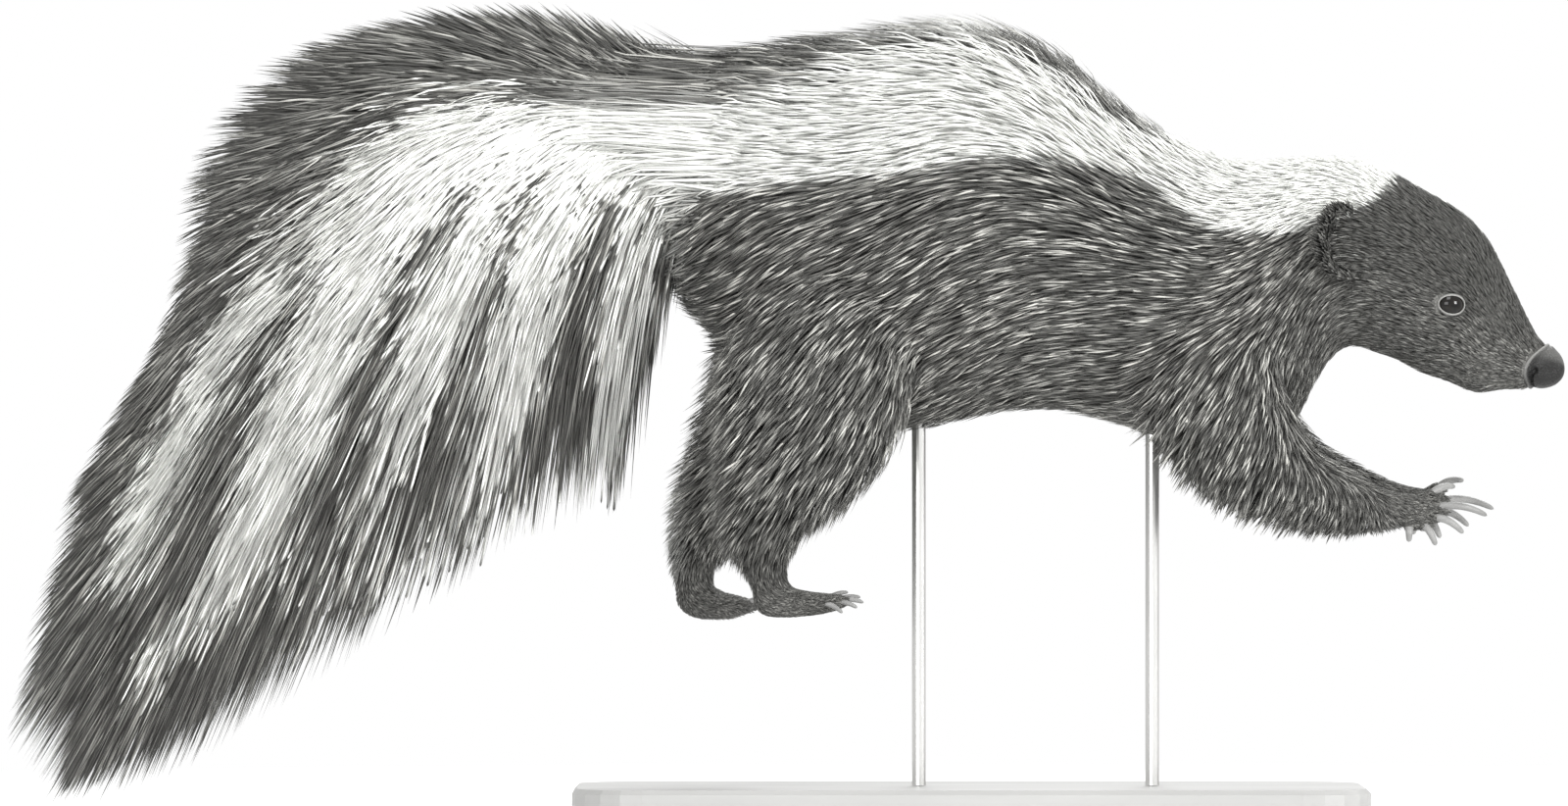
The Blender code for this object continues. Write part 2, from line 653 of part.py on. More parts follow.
def slab(name, rear, front):
    """Everything between two planes across the trunk, each given by x and z of two points."""
    corners = []
    for (top_x, top_z), (low_x, low_z) in (rear, front):
        slope = (top_x - low_x) / (top_z - low_z)
        high, low = top_x + slope * (0.5 - top_z), top_x + slope * (-0.1 - top_z)
        corners.append([(high, -0.3, 0.5), (high, 0.3, 0.5), (low, 0.3, -0.1), (low, -0.3, -0.1)])
    return closed_mesh(name, np.array(corners))


def moved(plane, step):
    return tuple((x + step, z) for x, z in plane)


def region_ring(along, out):
    """Points round the plume, also beyond its last row, and wider than it."""
    end = min(along, len(TAIL) - 1)
    everywhere = np.ones(REGION_SIDES)
    ring = tail_point(end * everywhere, ring_angles(REGION_SIDES), out * everywhere)
    beyond = (along - end) * (TAIL[-1] - TAIL[-2])[0:2]
    return ring * (1, REGION_SPREAD, 1) + in_side_view(beyond)


def tail_region(first, last):
    """Everything of the plume between two rows of the tail."""
    reach = (0.4, 0.8, REGION_OUT)
    rings = [region_ring(first, out) for out in reach]
    rings += [region_ring(along, REGION_OUT) for along in np.linspace(first, last, 5)[1:]]
    rings += [region_ring(last, out) for out in reach[-2::-1]]
    bones = [region_ring(along, 0.0)[0] for along in (first, last)]
    return closed_mesh("region", rings, bones)


def limb_region(name, rows, side, grow):
    """Everything around a limb, with a flat end across its last row."""
    angles = ring_angles(REGION_SIDES)
    everywhere = np.ones(REGION_SIDES)
    rings = [limb_point(rows, side, at * everywhere, angles, 0.0, grow) for at in range(len(rows))]
    rings, start = domed(rings, 0, LIMB_DOMES[0] + grow, 1)
    return closed_mesh(name, rings, (start, None))


def paw_frame(side):
    """Forward, outward and back-of-hand directions of a forepaw."""
    return np.array((1.0, 0, 0)), np.array((0, side * 0.6, -0.8)), np.array((0, side * 0.8, 0.6))


def claw(name, points, radius, toe_way):
    """A claw along a curve from its root, which faces the toe's end, to its tip."""
    along = np.linspace(0, 1, 4)
    path = bend(*(np.asarray(point, float) for point in points), along)
    return tube(name, path, radius * (1 - 0.75 * along**1.5), 6, True, toe_way)


def forepaw(side_name, side, skunk):
    middle = np.array((PALM[0], side * PALM[1], PALM[2])) + FORE_SHIFTS[side_name]
    forward, outward, back = paw_frame(side)
    wrist = limb_point(FORE_LIMB[side_name], side, np.full(10, 6.0), ring_angles(10), CORE)
    wrist = wrist + forward * GAP
    rings = [wrist]
    for at, deep, wide in PALM_RINGS:
        turn = ring_angles(10)
        rings.append(middle + forward * at + np.outer(np.sin(turn) * deep, back)
                     + np.outer(np.cos(turn) * wide, outward))
    first, second = rings[0] - rings[0].mean(0), rings[1] - rings[1].mean(0)
    sign = 1 if np.cross(first[0], first[3]) @ np.cross(second[0], second[3]) > 0 else -1
    rings[0] = rings[0][::sign]
    about = rings[1] - middle
    nearest = max(range(10), key=lambda step: np.sum(np.roll(rings[0], -step, 0) * about))
    rings[0] = np.roll(rings[0], -nearest, 0)
    paw = link(closed_mesh("forepaw_" + side_name, rings, (None, middle + forward * PALM_FRONT)), skunk)
    toes = []
    for digit, (root, tip, curl) in FORE_CLAWS.items():
        ends = [middle + forward * at[0] + outward * at[1] for at in (root, tip)]
        start = middle + (ends[0] - middle) * 0.2
        way = unit(ends[0] - middle)
        toes.append(tube("toe", [start, ends[0]], FORE_TOE_RADII, 6))
        root = ends[0] + way * GAP
        knee = (root + ends[1]) / 2 + back * curl * CLAW_KNEE
        path = (root, knee, ends[1] - back * curl)
        link(claw("forepaw_%s_claw_%s" % (side_name, digit), path, CLAW_RADIUS, way), skunk)
    cut(paw, "UNION", toes)
    return keep_largest(paw)


def hindfoot(side_name, side, skunk):
    x, y, z, yaw, pitch = HIND_FEET[side_name]
    turn = Matrix.Rotation(yaw * side, 3, "Z") @ Matrix.Rotation(pitch, 3, "Y")
    axes = ((1, 0, 0), (0, side, 0), (0, 0, 1))
    forward, outward, upward = (np.array(turn @ Vector(axis)) for axis in axes)
    heel = np.array((x, y * side, z))
    angles = ring_angles(10)
    rings = [heel + forward * at + upward * (lift + np.outer(np.sin(angles) * deep, (1,)))
             + np.outer(np.cos(angles) * wide, outward) for at, lift, deep, wide in FOOT_RINGS]
    ends = [heel + forward * at for at in FOOT_ENDS]
    foot = link(closed_mesh("hindfoot_" + side_name, rings, ends), skunk)
    ankle = limb_point(HIND_LIMB[side_name], side, np.full(10, 6.0), angles, CORE)
    above, low = spline(HIND_LIMB[side_name], [5.9, 6.0])[:, :3] * (1, side, 1)
    ankle = ankle + unit(low - above) * GAP
    inner = heel + (ankle - ankle.mean(0)) * 0.6
    halfway = (heel + ankle.mean(0)) / 2 + (ankle - ankle.mean(0)) * 0.95
    shin = closed_mesh("shin", [ankle, halfway, inner])
    toes = []
    for digit, (splay, reach) in HIND_TOES.items():
        way = forward * math.cos(splay) + outward * math.sin(splay)
        root = heel + forward * TOE_ROOT[0] + outward * math.sin(splay) * TOE_ROOT[1]
        end = root + way * reach
        toes.append(tube("toe", [root, end], HIND_TOE_RADII, 6))
        start = end + way * GAP
        path = [start + way * along + upward * lift for along, lift in HIND_CLAW]
        link(claw("hindfoot_%s_claw_%s" % (side_name, digit), path, HIND_CLAW_RADIUS, way), skunk)
    cut(foot, "UNION", [shin, *toes])
    return keep_largest(foot)


def whole_body():
    """The coated body from muzzle to tail and down to the wrists and ankles, as one form."""
    draw = random.Random(SEED)
    whole = link(body_core(), bpy.data.collections["cutters"])
    others = [head_form(), tail_form(TAIL_CORE), *trunk_locks(draw), *tail_locks(draw)]
    for name, side in SIDES:
        others.append(limb_form("hind_limb", HIND_LIMB[name], side, CORE))
        others.append(limb_form("fore_limb", FORE_LIMB[name], side, CORE))
        others.extend(limb_locks(HIND_LIMB[name], side, HIND_LOCKS, draw))
        others.extend(limb_locks(FORE_LIMB[name], side, FORE_LOCKS, draw))
    return keep_largest(fuse(whole, others))


def on_flank(tree, x, z, side):
    """The point of the head's side at this x and z, and the way it faces."""
    place, normal, _, _ = tree.ray_cast(Vector((x, side * 0.2, z)), Vector((0, -side, 0)))
    return np.array(place), np.array(normal)


def shape_head(head, skunk):
    """Lids, lips, the line of the mouth, ears, eyes and nose."""
    tree = BVHTree.FromObject(head, bpy.context.evaluated_depsgraph_get())
    rims, hollows, ears = [], [], []
    for name, side in SIDES:
        line = [on_flank(tree, x, z, side) for x, z in MOUTH_LINE]
        for lift in (LIP_RADIUS, -LIP_RADIUS):
            points = [place - normal * LIP_RADIUS * LIP_SUNK + (0, 0, lift) for place, normal in line]
            rims.append(tube("lip", points, (LIP_RADIUS,) * len(points), 5))
        hollows.append(tube("mouth", [place for place, _ in line], (MOUTH_GROOVE,) * len(line), 5))

        place, normal = on_flank(tree, *EYE_MIDDLE, side)
        middle = place - normal * (EYE_RADIUS - EYE_BULGE)
        link(ball("eye_" + name, middle, (EYE_RADIUS,) * 3), skunk)
        turns = ring_angles(10)
        forth = unit(np.cross(normal, (0.0, 0.0, 1.0)))
        above = np.cross(forth, normal)
        lid = [place + forth * math.cos(turn) * LID_LONG + above * math.sin(turn) * LID_HIGH
               - normal * LID_SUNK for turn in turns]
        rims.append(ring_tube("lid", lid, LID_RADIUS))
        hollows.append(ball("socket", middle, (EYE_RADIUS + GAP,) * 3))

        place, normal = on_flank(tree, *EAR_MIDDLE, side)
        turn = Matrix.Rotation(side * EAR_YAW, 4, "Z") @ Matrix.Rotation(side * EAR_ROLL, 4, "X")
        ears.append((name, side, place + normal * EAR_OUT, turn))
    cut(head, "UNION", rims)
    cut(head, "DIFFERENCE", hollows)
    sockets = []
    for name, side, place, turn in ears:
        ear = link(ball("ear_" + name, place, EAR_RADII, turn), skunk)
        shift = Vector(EAR_CUP_SHIFT) * Vector((1, side, 1))
        cup_place = Vector(place) + turn.to_3x3() @ shift
        cut(ear, "DIFFERENCE", [ball("cup", cup_place, EAR_CUP, turn)])
        sockets.append(ball("socket", place, [radius + GAP for radius in EAR_RADII], turn))
    nose = link(ball("nose", NOSE_MIDDLE, NOSE_RADII), skunk)
    sockets.append(ball("socket", NOSE_MIDDLE, [radius + GAP for radius in NOSE_RADII]))
    cut(head, "DIFFERENCE", sockets)
    nostrils = []
    for _, side in SIDES:
        path = np.array(NOSTRIL) * (1, side, 1)
        nostrils.append(tube("nostril", path, NOSTRIL_RADII))
    cut(nose, "DIFFERENCE", nostrils)
    return keep_largest(head)


def ring_tube(name, points, radius, sides=5):
    """A closed ring of round section."""
    points = np.asarray(points)
    middle = points.mean(0)
    facing = unit(np.cross(points[0] - middle, points[len(points) // 4] - middle))
    mesh = bmesh.new()
    loops = []
    for point in points:
        outward = unit(point - middle)
        loops.append([mesh.verts.new(point + radius * (outward * math.cos(turn) + facing * math.sin(turn)))
                      for turn in ring_angles(sides)])
    for first, second in zip(loops, loops[1:] + loops[:1]):
        for here in range(sides):
            there = (here + 1) % sides
            mesh.faces.new((first[here], first[there], second[there], second[here]))
    return object_of(name, mesh)


def part_body(whole, skunk):
    """Parts the whole body into its nodes with thin cuts."""
    cutters = bpy.data.collections["cutters"]
    half = GAP / 2
    spans = {
        "head": (moved(HEAD_CUT, half), ((0.5, 0.3), (0.5, 0.1))),
        "neck": (moved(NECK_CUT, half), moved(HEAD_CUT, -half)),
        "torso": (((-0.6, 0.3), (-0.6, 0.1)), moved(NECK_CUT, -half)),
    }
    nodes = {}
    for name, (rear, front) in spans.items():
        node = nodes[name] = copy_of(whole, name, skunk)
        cut(node, "INTERSECT", [slab("slab", rear, front)])
    limbs = {"hindleg": HIND_LIMB, "foreleg": FORE_LIMB}
    for kind, tables in limbs.items():
        for name, side in SIDES:
            leg = copy_of(whole, "%s_%s" % (kind, name), skunk)
            cut(leg, "INTERSECT", [limb_region("region", tables[name], side, LIMB_MARGIN)])
            keep_largest(leg)
            for node in ("torso", "neck") if kind == "foreleg" else ("torso",):
                around = limb_region("region", tables[name], side, LIMB_MARGIN + GAP)
                cut(nodes[node], "DIFFERENCE", [around])
    gap = half / np.linalg.norm(TAIL[1, 0:2] - TAIL[0, 0:2])  # in rows
    bounds = [0.0, *TAIL_CUTS, len(TAIL) + 1]
    cut(nodes["torso"], "DIFFERENCE", [tail_region(bounds[0] - gap, bounds[-1])])
    for name, first, last in zip(("tail_base", "tail_middle", "tail_tip"), bounds, bounds[1:]):
        length = copy_of(whole, name, skunk)
        cut(length, "INTERSECT", [tail_region(first + gap, last - gap)])
        keep_largest(length)
    for node in nodes.values():
        keep_largest(node)
    bpy.data.objects.remove(whole)
    return nodes


def build_stand(skunk, torso):
    """A flat base with two rods, each cut off just short of the belly."""
    mesh = bmesh.new()
    bmesh.ops.create_cube(mesh, size=1.0)
    size = Matrix.Diagonal((BASE_LENGTH, BASE_WIDTH, BASE_HEIGHT, 1.0))
    bmesh.ops.transform(mesh, matrix=Matrix.Translation((0, 0, BASE_HEIGHT / 2)) @ size, verts=mesh.verts)
    upright = [edge for edge in mesh.edges if edge.verts[0].co.xy == edge.verts[1].co.xy]
    bmesh.ops.bevel(mesh, geom=upright, offset=BASE_CORNER, segments=5, profile=0.5, affect="EDGES")
    flat = [edge for edge in mesh.edges if edge.verts[0].co.z == edge.verts[1].co.z]
    bmesh.ops.bevel(mesh, geom=flat, offset=BASE_BEVEL, segments=1, affect="EDGES")
    link(object_of("stand_base", mesh), skunk)
    tree = BVHTree.FromObject(torso, bpy.context.evaluated_depsgraph_get())
    for name, x in ROD_PLACES.items():
        reach = []
        for turn in ring_angles(12):
            start = Vector((x + ROD_RADIUS * math.cos(turn), ROD_RADIUS * math.sin(turn), BASE_HEIGHT))
            reach.append(tree.ray_cast(start, Vector((0, 0, 1)))[0].z)
        low, high = BASE_HEIGHT + GAP, min(reach) - GAP
        mesh = bmesh.new()
        bmesh.ops.create_cone(
            mesh, cap_ends=True, segments=16, radius1=ROD_RADIUS, radius2=ROD_RADIUS, depth=high - low,
            matrix=Matrix.Translation((x, 0, (low + high) / 2)),
        )
        link(object_of("stand_rod_" + name, mesh), skunk)


def main():
    clear_scene()
    skunk = collection("striped_skunk")
    cutters = collection("cutters")
    nodes = part_body(whole_body(), skunk)
    shape_head(nodes["head"], skunk)
    for name, side in SIDES:
        forepaw(name, side, skunk)
        hindfoot(name, side, skunk)
    build_stand(skunk, nodes["torso"])
    for obj in skunk.objects:
        finish(obj)
    bpy.data.collections.remove(cutters)


if __name__ == "__main__":
    main()
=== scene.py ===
"""The looks of a striped skunk in mid bound, life size, on a plain display stand.

Every length is in metres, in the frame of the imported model: the nose points along +X, +Y is the
animal's left side, and the floor is at z = 0.
"""

import math
from functools import partial

import bmesh
import bpy
import numpy as np
from mathutils import Matrix, Vector
from mathutils.bvhtree import BVHTree
from mathutils.kdtree import KDTree


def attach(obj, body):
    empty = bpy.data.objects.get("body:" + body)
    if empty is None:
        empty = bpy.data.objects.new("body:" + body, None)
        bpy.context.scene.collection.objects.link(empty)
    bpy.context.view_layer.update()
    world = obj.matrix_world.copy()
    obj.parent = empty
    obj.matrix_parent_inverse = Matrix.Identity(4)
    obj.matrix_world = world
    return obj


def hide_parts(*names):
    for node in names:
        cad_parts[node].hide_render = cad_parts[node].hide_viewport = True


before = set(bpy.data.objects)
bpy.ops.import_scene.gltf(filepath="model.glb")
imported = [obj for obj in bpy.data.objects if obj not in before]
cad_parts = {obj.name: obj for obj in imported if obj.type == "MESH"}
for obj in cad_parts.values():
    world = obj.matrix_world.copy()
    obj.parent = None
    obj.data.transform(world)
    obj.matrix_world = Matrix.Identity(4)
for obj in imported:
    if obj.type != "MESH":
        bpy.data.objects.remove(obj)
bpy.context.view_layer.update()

SIDES = (("right", -1), ("left", 1))
ACROSS = np.array((0.0, 1.0, 0.0))
DRAW = np.random.default_rng(11)

# The trunk from rump to muzzle, out to the tips of the coat: the back's x and z, the belly's x and
# z, the half width, and the coat's depth on the back, the flank and the belly.
TRUNK = np.array((
    (-0.107, 0.331, -0.111, 0.210, 0.046, 0.024, 0.014, 0.010),
    (-0.084, 0.334, -0.084, 0.181, 0.058, 0.026, 0.014, 0.010),
    (-0.055, 0.338, -0.050, 0.164, 0.064, 0.026, 0.014, 0.010),
    (-0.025, 0.342, -0.021, 0.164, 0.066, 0.026, 0.014, 0.010),
    (0.004, 0.343, 0.008, 0.170, 0.064, 0.026, 0.013, 0.010),
    (0.036, 0.331, 0.032, 0.172, 0.060, 0.024, 0.012, 0.010),
    (0.061, 0.310, 0.055, 0.168, 0.057, 0.020, 0.012, 0.010),
    (0.086, 0.294, 0.080, 0.160, 0.055, 0.016, 0.011, 0.009),
    (0.107, 0.285, 0.105, 0.150, 0.052, 0.012, 0.010, 0.008),
    (0.124, 0.282, 0.134, 0.162, 0.046, 0.010, 0.008, 0.006),
    (0.141, 0.283, 0.149, 0.188, 0.040, 0.008, 0.006, 0.005),
    (0.158, 0.283, 0.162, 0.200, 0.037, 0.006, 0.005, 0.004),
    (0.174, 0.279, 0.174, 0.197, 0.038, 0.005, 0.004, 0.004),
    (0.191, 0.270, 0.185, 0.193, 0.036, 0.004, 0.004, 0.003),
    (0.208, 0.260, 0.195, 0.188, 0.031, 0.003, 0.003, 0.003),
    (0.221, 0.248, 0.206, 0.184, 0.025, 0.003, 0.003, 0.003),
    (0.230, 0.231, 0.216, 0.180, 0.018, 0.002, 0.002, 0.002),
    (0.238, 0.215, 0.229, 0.181, 0.0125, 0.002, 0.002, 0.002),
    (0.244, 0.204, 0.238, 0.181, 0.0095, 0.0015, 0.0015, 0.0015),
    (0.2480, 0.2008, 0.2420, 0.1812, 0.0086, 0.0010, 0.0010, 0.0010),
))

# The tail: x and z of the bone, of the bend and the tip of the hair above it, of the bend and the
# tip of the hair below it, and the plume's half width.
TAIL = np.array((
    (-0.122, 0.286, -0.147, 0.323, -0.181, 0.346, -0.141, 0.252, -0.150, 0.137, 0.046),
    (-0.164, 0.296, -0.202, 0.332, -0.239, 0.344, -0.171, 0.220, -0.186, 0.126, 0.055),
    (-0.206, 0.294, -0.252, 0.323, -0.298, 0.323, -0.205, 0.190, -0.238, 0.090, 0.061),
    (-0.248, 0.269, -0.294, 0.294, -0.332, 0.281, -0.245, 0.160, -0.290, 0.056, 0.061),
    (-0.281, 0.227, -0.319, 0.244, -0.347, 0.210, -0.285, 0.125, -0.330, 0.029, 0.056),
    (-0.311, 0.176, -0.353, 0.172, -0.386, 0.137, -0.326, 0.086, -0.362, 0.013, 0.049),
    (-0.332, 0.130, -0.374, 0.097, -0.411, 0.036, -0.357, 0.063, -0.391, 0.008, 0.038),
))
TAIL_ROOT = (-0.100, 0.285, 0.030, 0.024)  # x, z, half height and half width inside the rump

# Limbs from the trunk outwards: x, y, z of the middle, the half depth in the side view, the half
# width and the coat's depth.
HIND_LIMB = {
    "right": (
        (-0.061, 0.034, 0.232, 0.026, 0.022, 0.010),
        (-0.062, 0.040, 0.200, 0.042, 0.030, 0.012),
        (-0.068, 0.042, 0.170, 0.040, 0.029, 0.012),
        (-0.082, 0.041, 0.143, 0.026, 0.022, 0.010),
        (-0.088, 0.039, 0.123, 0.0175, 0.016, 0.007),
        (-0.088, 0.038, 0.109, 0.0105, 0.010, 0.003),
        (-0.087, 0.037, 0.101, 0.0092, 0.0086, 0.002),
    ),
    "left": (
        (-0.061, 0.034, 0.232, 0.026, 0.022, 0.010),
        (-0.064, 0.040, 0.200, 0.040, 0.030, 0.012),
        (-0.077, 0.042, 0.168, 0.037, 0.028, 0.012),
        (-0.098, 0.041, 0.142, 0.025, 0.021, 0.010),
        (-0.113, 0.039, 0.123, 0.015, 0.014, 0.006),
        (-0.119, 0.038, 0.109, 0.0090, 0.0090, 0.003),
        (-0.119, 0.037, 0.101, 0.0082, 0.0082, 0.002),
    ),
}
FORE_LIMB = {
    "right": (
        (0.094, 0.028, 0.220, 0.022, 0.018, 0.008),
        (0.103, 0.036, 0.188, 0.030, 0.021, 0.010),
        (0.116, 0.036, 0.164, 0.026, 0.020, 0.010),
        (0.134, 0.033, 0.146, 0.0185, 0.0165, 0.008),
        (0.157, 0.030, 0.136, 0.0135, 0.0125, 0.005),
        (0.173, 0.028, 0.132, 0.0088, 0.0090, 0.002),
        (0.181, 0.027, 0.131, 0.0075, 0.0085, 0.0015),
    ),
    "left": (
        (0.096, 0.028, 0.220, 0.022, 0.018, 0.008),
        (0.106, 0.036, 0.189, 0.030, 0.021, 0.010),
        (0.120, 0.036, 0.166, 0.025, 0.020, 0.010),
        (0.139, 0.033, 0.149, 0.0180, 0.0165, 0.008),
        (0.162, 0.030, 0.139, 0.0130, 0.0125, 0.005),
        (0.178, 0.028, 0.135, 0.0088, 0.0090, 0.002),
        (0.186, 0.027, 0.134, 0.0075, 0.0085, 0.0015),
    ),
}

# Forepaws, forward, back of the hand and outward of the palm's middle, as in the solids
PALM = (0.1885, 0.027, 0.1305)
PALM_SHIFT = {"right": (0.0, 0.0, 0.0), "left": (0.0050, 0.0, 0.0025)}
PALM_RINGS = (
    (-0.0045, 0.0060, 0.0078),
    (0.0005, 0.0058, 0.0080),
    (0.0045, 0.0048, 0.0066),
    (0.0068, 0.0030, 0.0042),
)
PALM_ENDS = (-0.012, 0.0078)
FORE_CLAWS = (  # each claw's root and tip, forward and outward, and how far it curls
    ((-0.0020, 0.0096), (-0.0020, 0.0152), 0.0025),
    ((0.0050, 0.0092), (0.0095, 0.0160), 0.0040),
    ((0.0098, 0.0046), (0.0215, 0.0085), 0.0055),
    ((0.0110, -0.0015), (0.0320, -0.0015), 0.0065),
    ((0.0082, -0.0084), (0.0185, -0.0158), 0.0050),
)
FORE_TOE_RADII = (0.0034, 0.0023)
FORE_CLAW_RADIUS = 0.0017

# Hind feet: x, y, z of the heel, the turn outwards and the tilt of the sole
HIND_FEET = {
    "right": (-0.0861, 0.037, 0.0916, 0.10, 0.0),
    "left": (-0.1195, 0.037, 0.0916, 0.80, 0.12),
}
FOOT_RINGS = (
    (-0.0050, 0.0, 0.0050, 0.0054),
    (0.0, 0.0, 0.0074, 0.0072),
    (0.008, -0.0006, 0.0064, 0.0078),
    (0.016, -0.0010, 0.0050, 0.0092),
    (0.024, -0.0008, 0.0040, 0.0098),
    (0.029, -0.0006, 0.0028, 0.0076),
)
FOOT_ENDS = (-0.0078, 0.033)
HIND_TOES = ((-0.42, 0.0150), (-0.21, 0.0195), (0.0, 0.0210), (0.21, 0.0195), (0.42, 0.0150))
HIND_TOE_RADII = (0.0036, 0.0024)
TOE_ROOT = (0.014, 0.011)
HIND_CLAW = ((0.0, 0.0), (0.005, 0.0016), (0.0098, -0.0006))
HIND_CLAW_RADIUS = 0.0012
HIND_CLAW_FAN = 0.0085  # how far the toes fan out up and down, for each radian of their splay

# Skin
SKIN_SHARE = 0.55  # the part of the coat's depth that lies outside the skin
SKIN_TAIL = 0.20  # how far out along the plume's hair its core reaches
SKIN_VOXEL = 0.00255
HEAD_FROM, MUZZLE_FROM = 0.140, 0.186  # x from which the skin is made finer, and finer again
HEAD_ABOVE = 0.165  # the head lies over this z, and the paws under it
EASE_BEHIND, EASE_ABOVE = 0.004, 0.16  # where the finer skin is evened out, behind its edge and in z
LIE_SMOOTHING, DEPTH_SMOOTHING, RAGGED_SMOOTHING = 28, 10, 8  # times that each is evened out
LIMB_ROWS = 6  # places from a limb's or the tail's first row to its last one
TRUNK_FORM, HIND_FORM, FORE_FORM, TAIL_FORM, EAR_FORM = range(5)
FORM_STEP = 0.05  # in rows or radians, to either side of a place where a form's direction is read

# Coat
CORE_COAT, PAW_COAT, EAR_COAT = 0.012, 0.0012, 0.0016  # its depth on the tail's core, paws and ears
CALM_LINE = ((0.175, 0.205, 0.236), (0.235, 0.214, 0.200))  # x and z: the face is darker above it
CALM_FADE = (0.160, 0.176)  # x over which that begins
STEEPNESS = 0.36  # how steeply the flank's coat runs down as it runs back
# Rows of the trunk: where the coat's fall eases towards the neck, where it lies level on the back
# and where it falls steeply on the haunches
NECK_ROWS, BACK_ROWS, HAUNCH_ROWS = (8.5, 11.5), (4.0, 1.0), (2.4, 0.3)
LENGTH_START, LENGTH_PER_DEPTH = 0.0032, 1.55
WIDTH_START, WIDTH_PER_LENGTH = 0.0006, 0.026
LAYERS = 3.3  # how many tufts lie over each spot
THICK_FROM, THICK_LAYERS = 0.012, 30  # the coat's depth from which it has more layers, and how many
STEPS = np.array((0.0, 0.34, 0.68, 1.0))  # places along a tuft
RISES = np.array((-0.16, 0.42, 0.80, 1.0))  # how high it stands there, as a part of its full rise
KEPT_STEPS = [0, 2, 3]  # the places that a tuft of the body keeps in its mesh
SWING, STRAY = 0.10, 0.09  # how far tufts turn aside, with their neighbours and each by itself
LENGTHS, WIDTHS, LIFTS = (0.70, 1.15), (0.75, 1.2), (0.45, 1.0)  # how much each tuft's vary
FREE = 0.20  # how far a tuft runs straight on where the skin curves away from it
TUFT_WIDTHS = (0.65, 1.0, 0.72, 0.3)  # at 0, 0.3, 0.7 and 1 of a tuft's length
HAIR_WIDTHS = (0.65, 1.0, 0.94, 0.6)  # the same for the plume
FLATNESS = 0.55  # a tuft's thickness as a part of its width
TAIL_HAIRS = 25000
TAIL_FROM, TAIL_TO = -0.7, 6.0  # the rows between which the plume's hair grows
OUTER_HAIRS = 0.72  # the part of the plume's hair that reaches its outline
OUTER_REACH, INNER_REACH = (0.84, 1.05), (0.50, 0.90)
RUMP_HAIRS = 4200
TAIL_HAIR_WIDTH = 0.00145
FINE_STEPS = 25  # places at which a tail hair's colour is looked up
CHANGE_GAP = 0.015  # half the length over which a hair changes its colour
MOST_TRIANGLES = 190000  # in one piece of the coat
BAKE_PATCH = 0.003  # how wide a tuft's patch is in the map for baking
SHORT_COAT = 0.0065  # depth under which the coat counts as the head's or the limbs'
HEAD_COAT_FROM, NECK_COAT_FROM = 0.150, 0.110  # x

# Frame of the picture
PIXEL = 0.00042  # the size of one of the picture's pixels at the animal
FRAME_WIDTH = 1600 * PIXEL
FRAME_MIDDLE = ((800 - 990) * PIXEL, (830 - 411) * PIXEL)
CAMERA_AWAY = 6.0
ROOM_LIGHT = 0.95  # how brightly the white room lights the animal
FLOOR_FADE = (0.30, 0.85)  # how far out the floor begins and ends to fade into the white room
GLINT_AWAY = 1.7

FLESH = ["head", "neck", "torso", "tail_base", "tail_middle", "tail_tip"]
FLESH += ["%s_%s" % (form, name) for form in ("foreleg", "hindleg", "forepaw", "hindfoot", "ear")
          for name in ("left", "right")]


def spline(rows, at):
    """Values between the rows, on a smooth curve through them."""
    rows = np.asarray(rows, float)
    last = len(rows) - 1
    wanted = np.atleast_1d(np.asarray(at, float))
    at = np.clip(wanted, 0, last)
    slope = np.where((wanted > last)[:, None], rows[-1] - rows[-2], rows[1] - rows[0])
    past = (wanted - at)[:, None] * slope
    low = np.minimum(at.astype(int), last - 1)
    part = (at - low)[:, None]
    before, after = rows[np.maximum(low - 1, 0)], rows[np.minimum(low + 2, last)]
    start, end = rows[low], rows[low + 1]
    rise = (end - before) / 2
    fall = (after - start) / 2
    return (
        start * (2 * part**3 - 3 * part**2 + 1)
        + end * (3 * part**2 - 2 * part**3)
        + rise * (part**3 - 2 * part**2 + part)
        + fall * (part**3 - part**2)
        + past
    )


def unit(vectors):
    return vectors / np.maximum(np.linalg.norm(vectors, axis=-1, keepdims=True), 1e-12)


def smooth_step(low, high, value):
    part = np.clip((value - low) / (high - low), 0, 1)
    return part * part * (3 - 2 * part)


def in_side_view(pairs, y=0.0):
    return np.stack([pairs[..., 0], np.broadcast_to(y, pairs[..., 0].shape), pairs[..., 1]], -1)


def trunk_point(along, angle, share):
    """A point of the trunk: along counts rows from the rump, angle is 90 degrees on the back and
    0 on the left flank, and share is the part of the coat's depth that is taken off."""
    row = spline(TRUNK, along)
    back, belly = in_side_view(row[:, 0:2]), in_side_view(row[:, 2:4])
    middle, height = (back + belly) / 2, np.linalg.norm(back - belly, axis=1) / 2
    rise, out = np.sin(angle), np.cos(angle)
    coat = np.where(rise > 0, row[:, 5], row[:, 7])
    up = unit(back - belly) * (rise * (height - share * coat))[:, None]
    return middle + up + ACROSS * (out * (row[:, 4] - share * row[:, 6]))[:, None]


def limb_point(rows, side, along, angle, share):
    """A point of a limb. angle is 0 on the outer side and 90 degrees on its front."""
    rows = np.asarray(rows) * (1, side, 1, 1, 1, 1)
    row = spline(rows, along)
    after, before = (spline(rows, np.asarray(along) + step)[:, :3] for step in (0.02, -0.02))
    way = unit(after - before)
    outward = unit(ACROSS * side - way * (way @ (ACROSS * side))[:, None])
    front = np.cross(outward, way) * side
    deep = row[:, 3] - share * row[:, 5]
    wide = row[:, 4] - share * row[:, 5]
    forth = front * (np.sin(angle) * deep)[:, None]
    return row[:, :3] + forth + outward * (np.cos(angle) * wide)[:, None]


def bend(start, middle, end, along):
    part = np.asarray(along)[..., None]
    return start * (1 - part) ** 2 + middle * 2 * part * (1 - part) + end * part**2


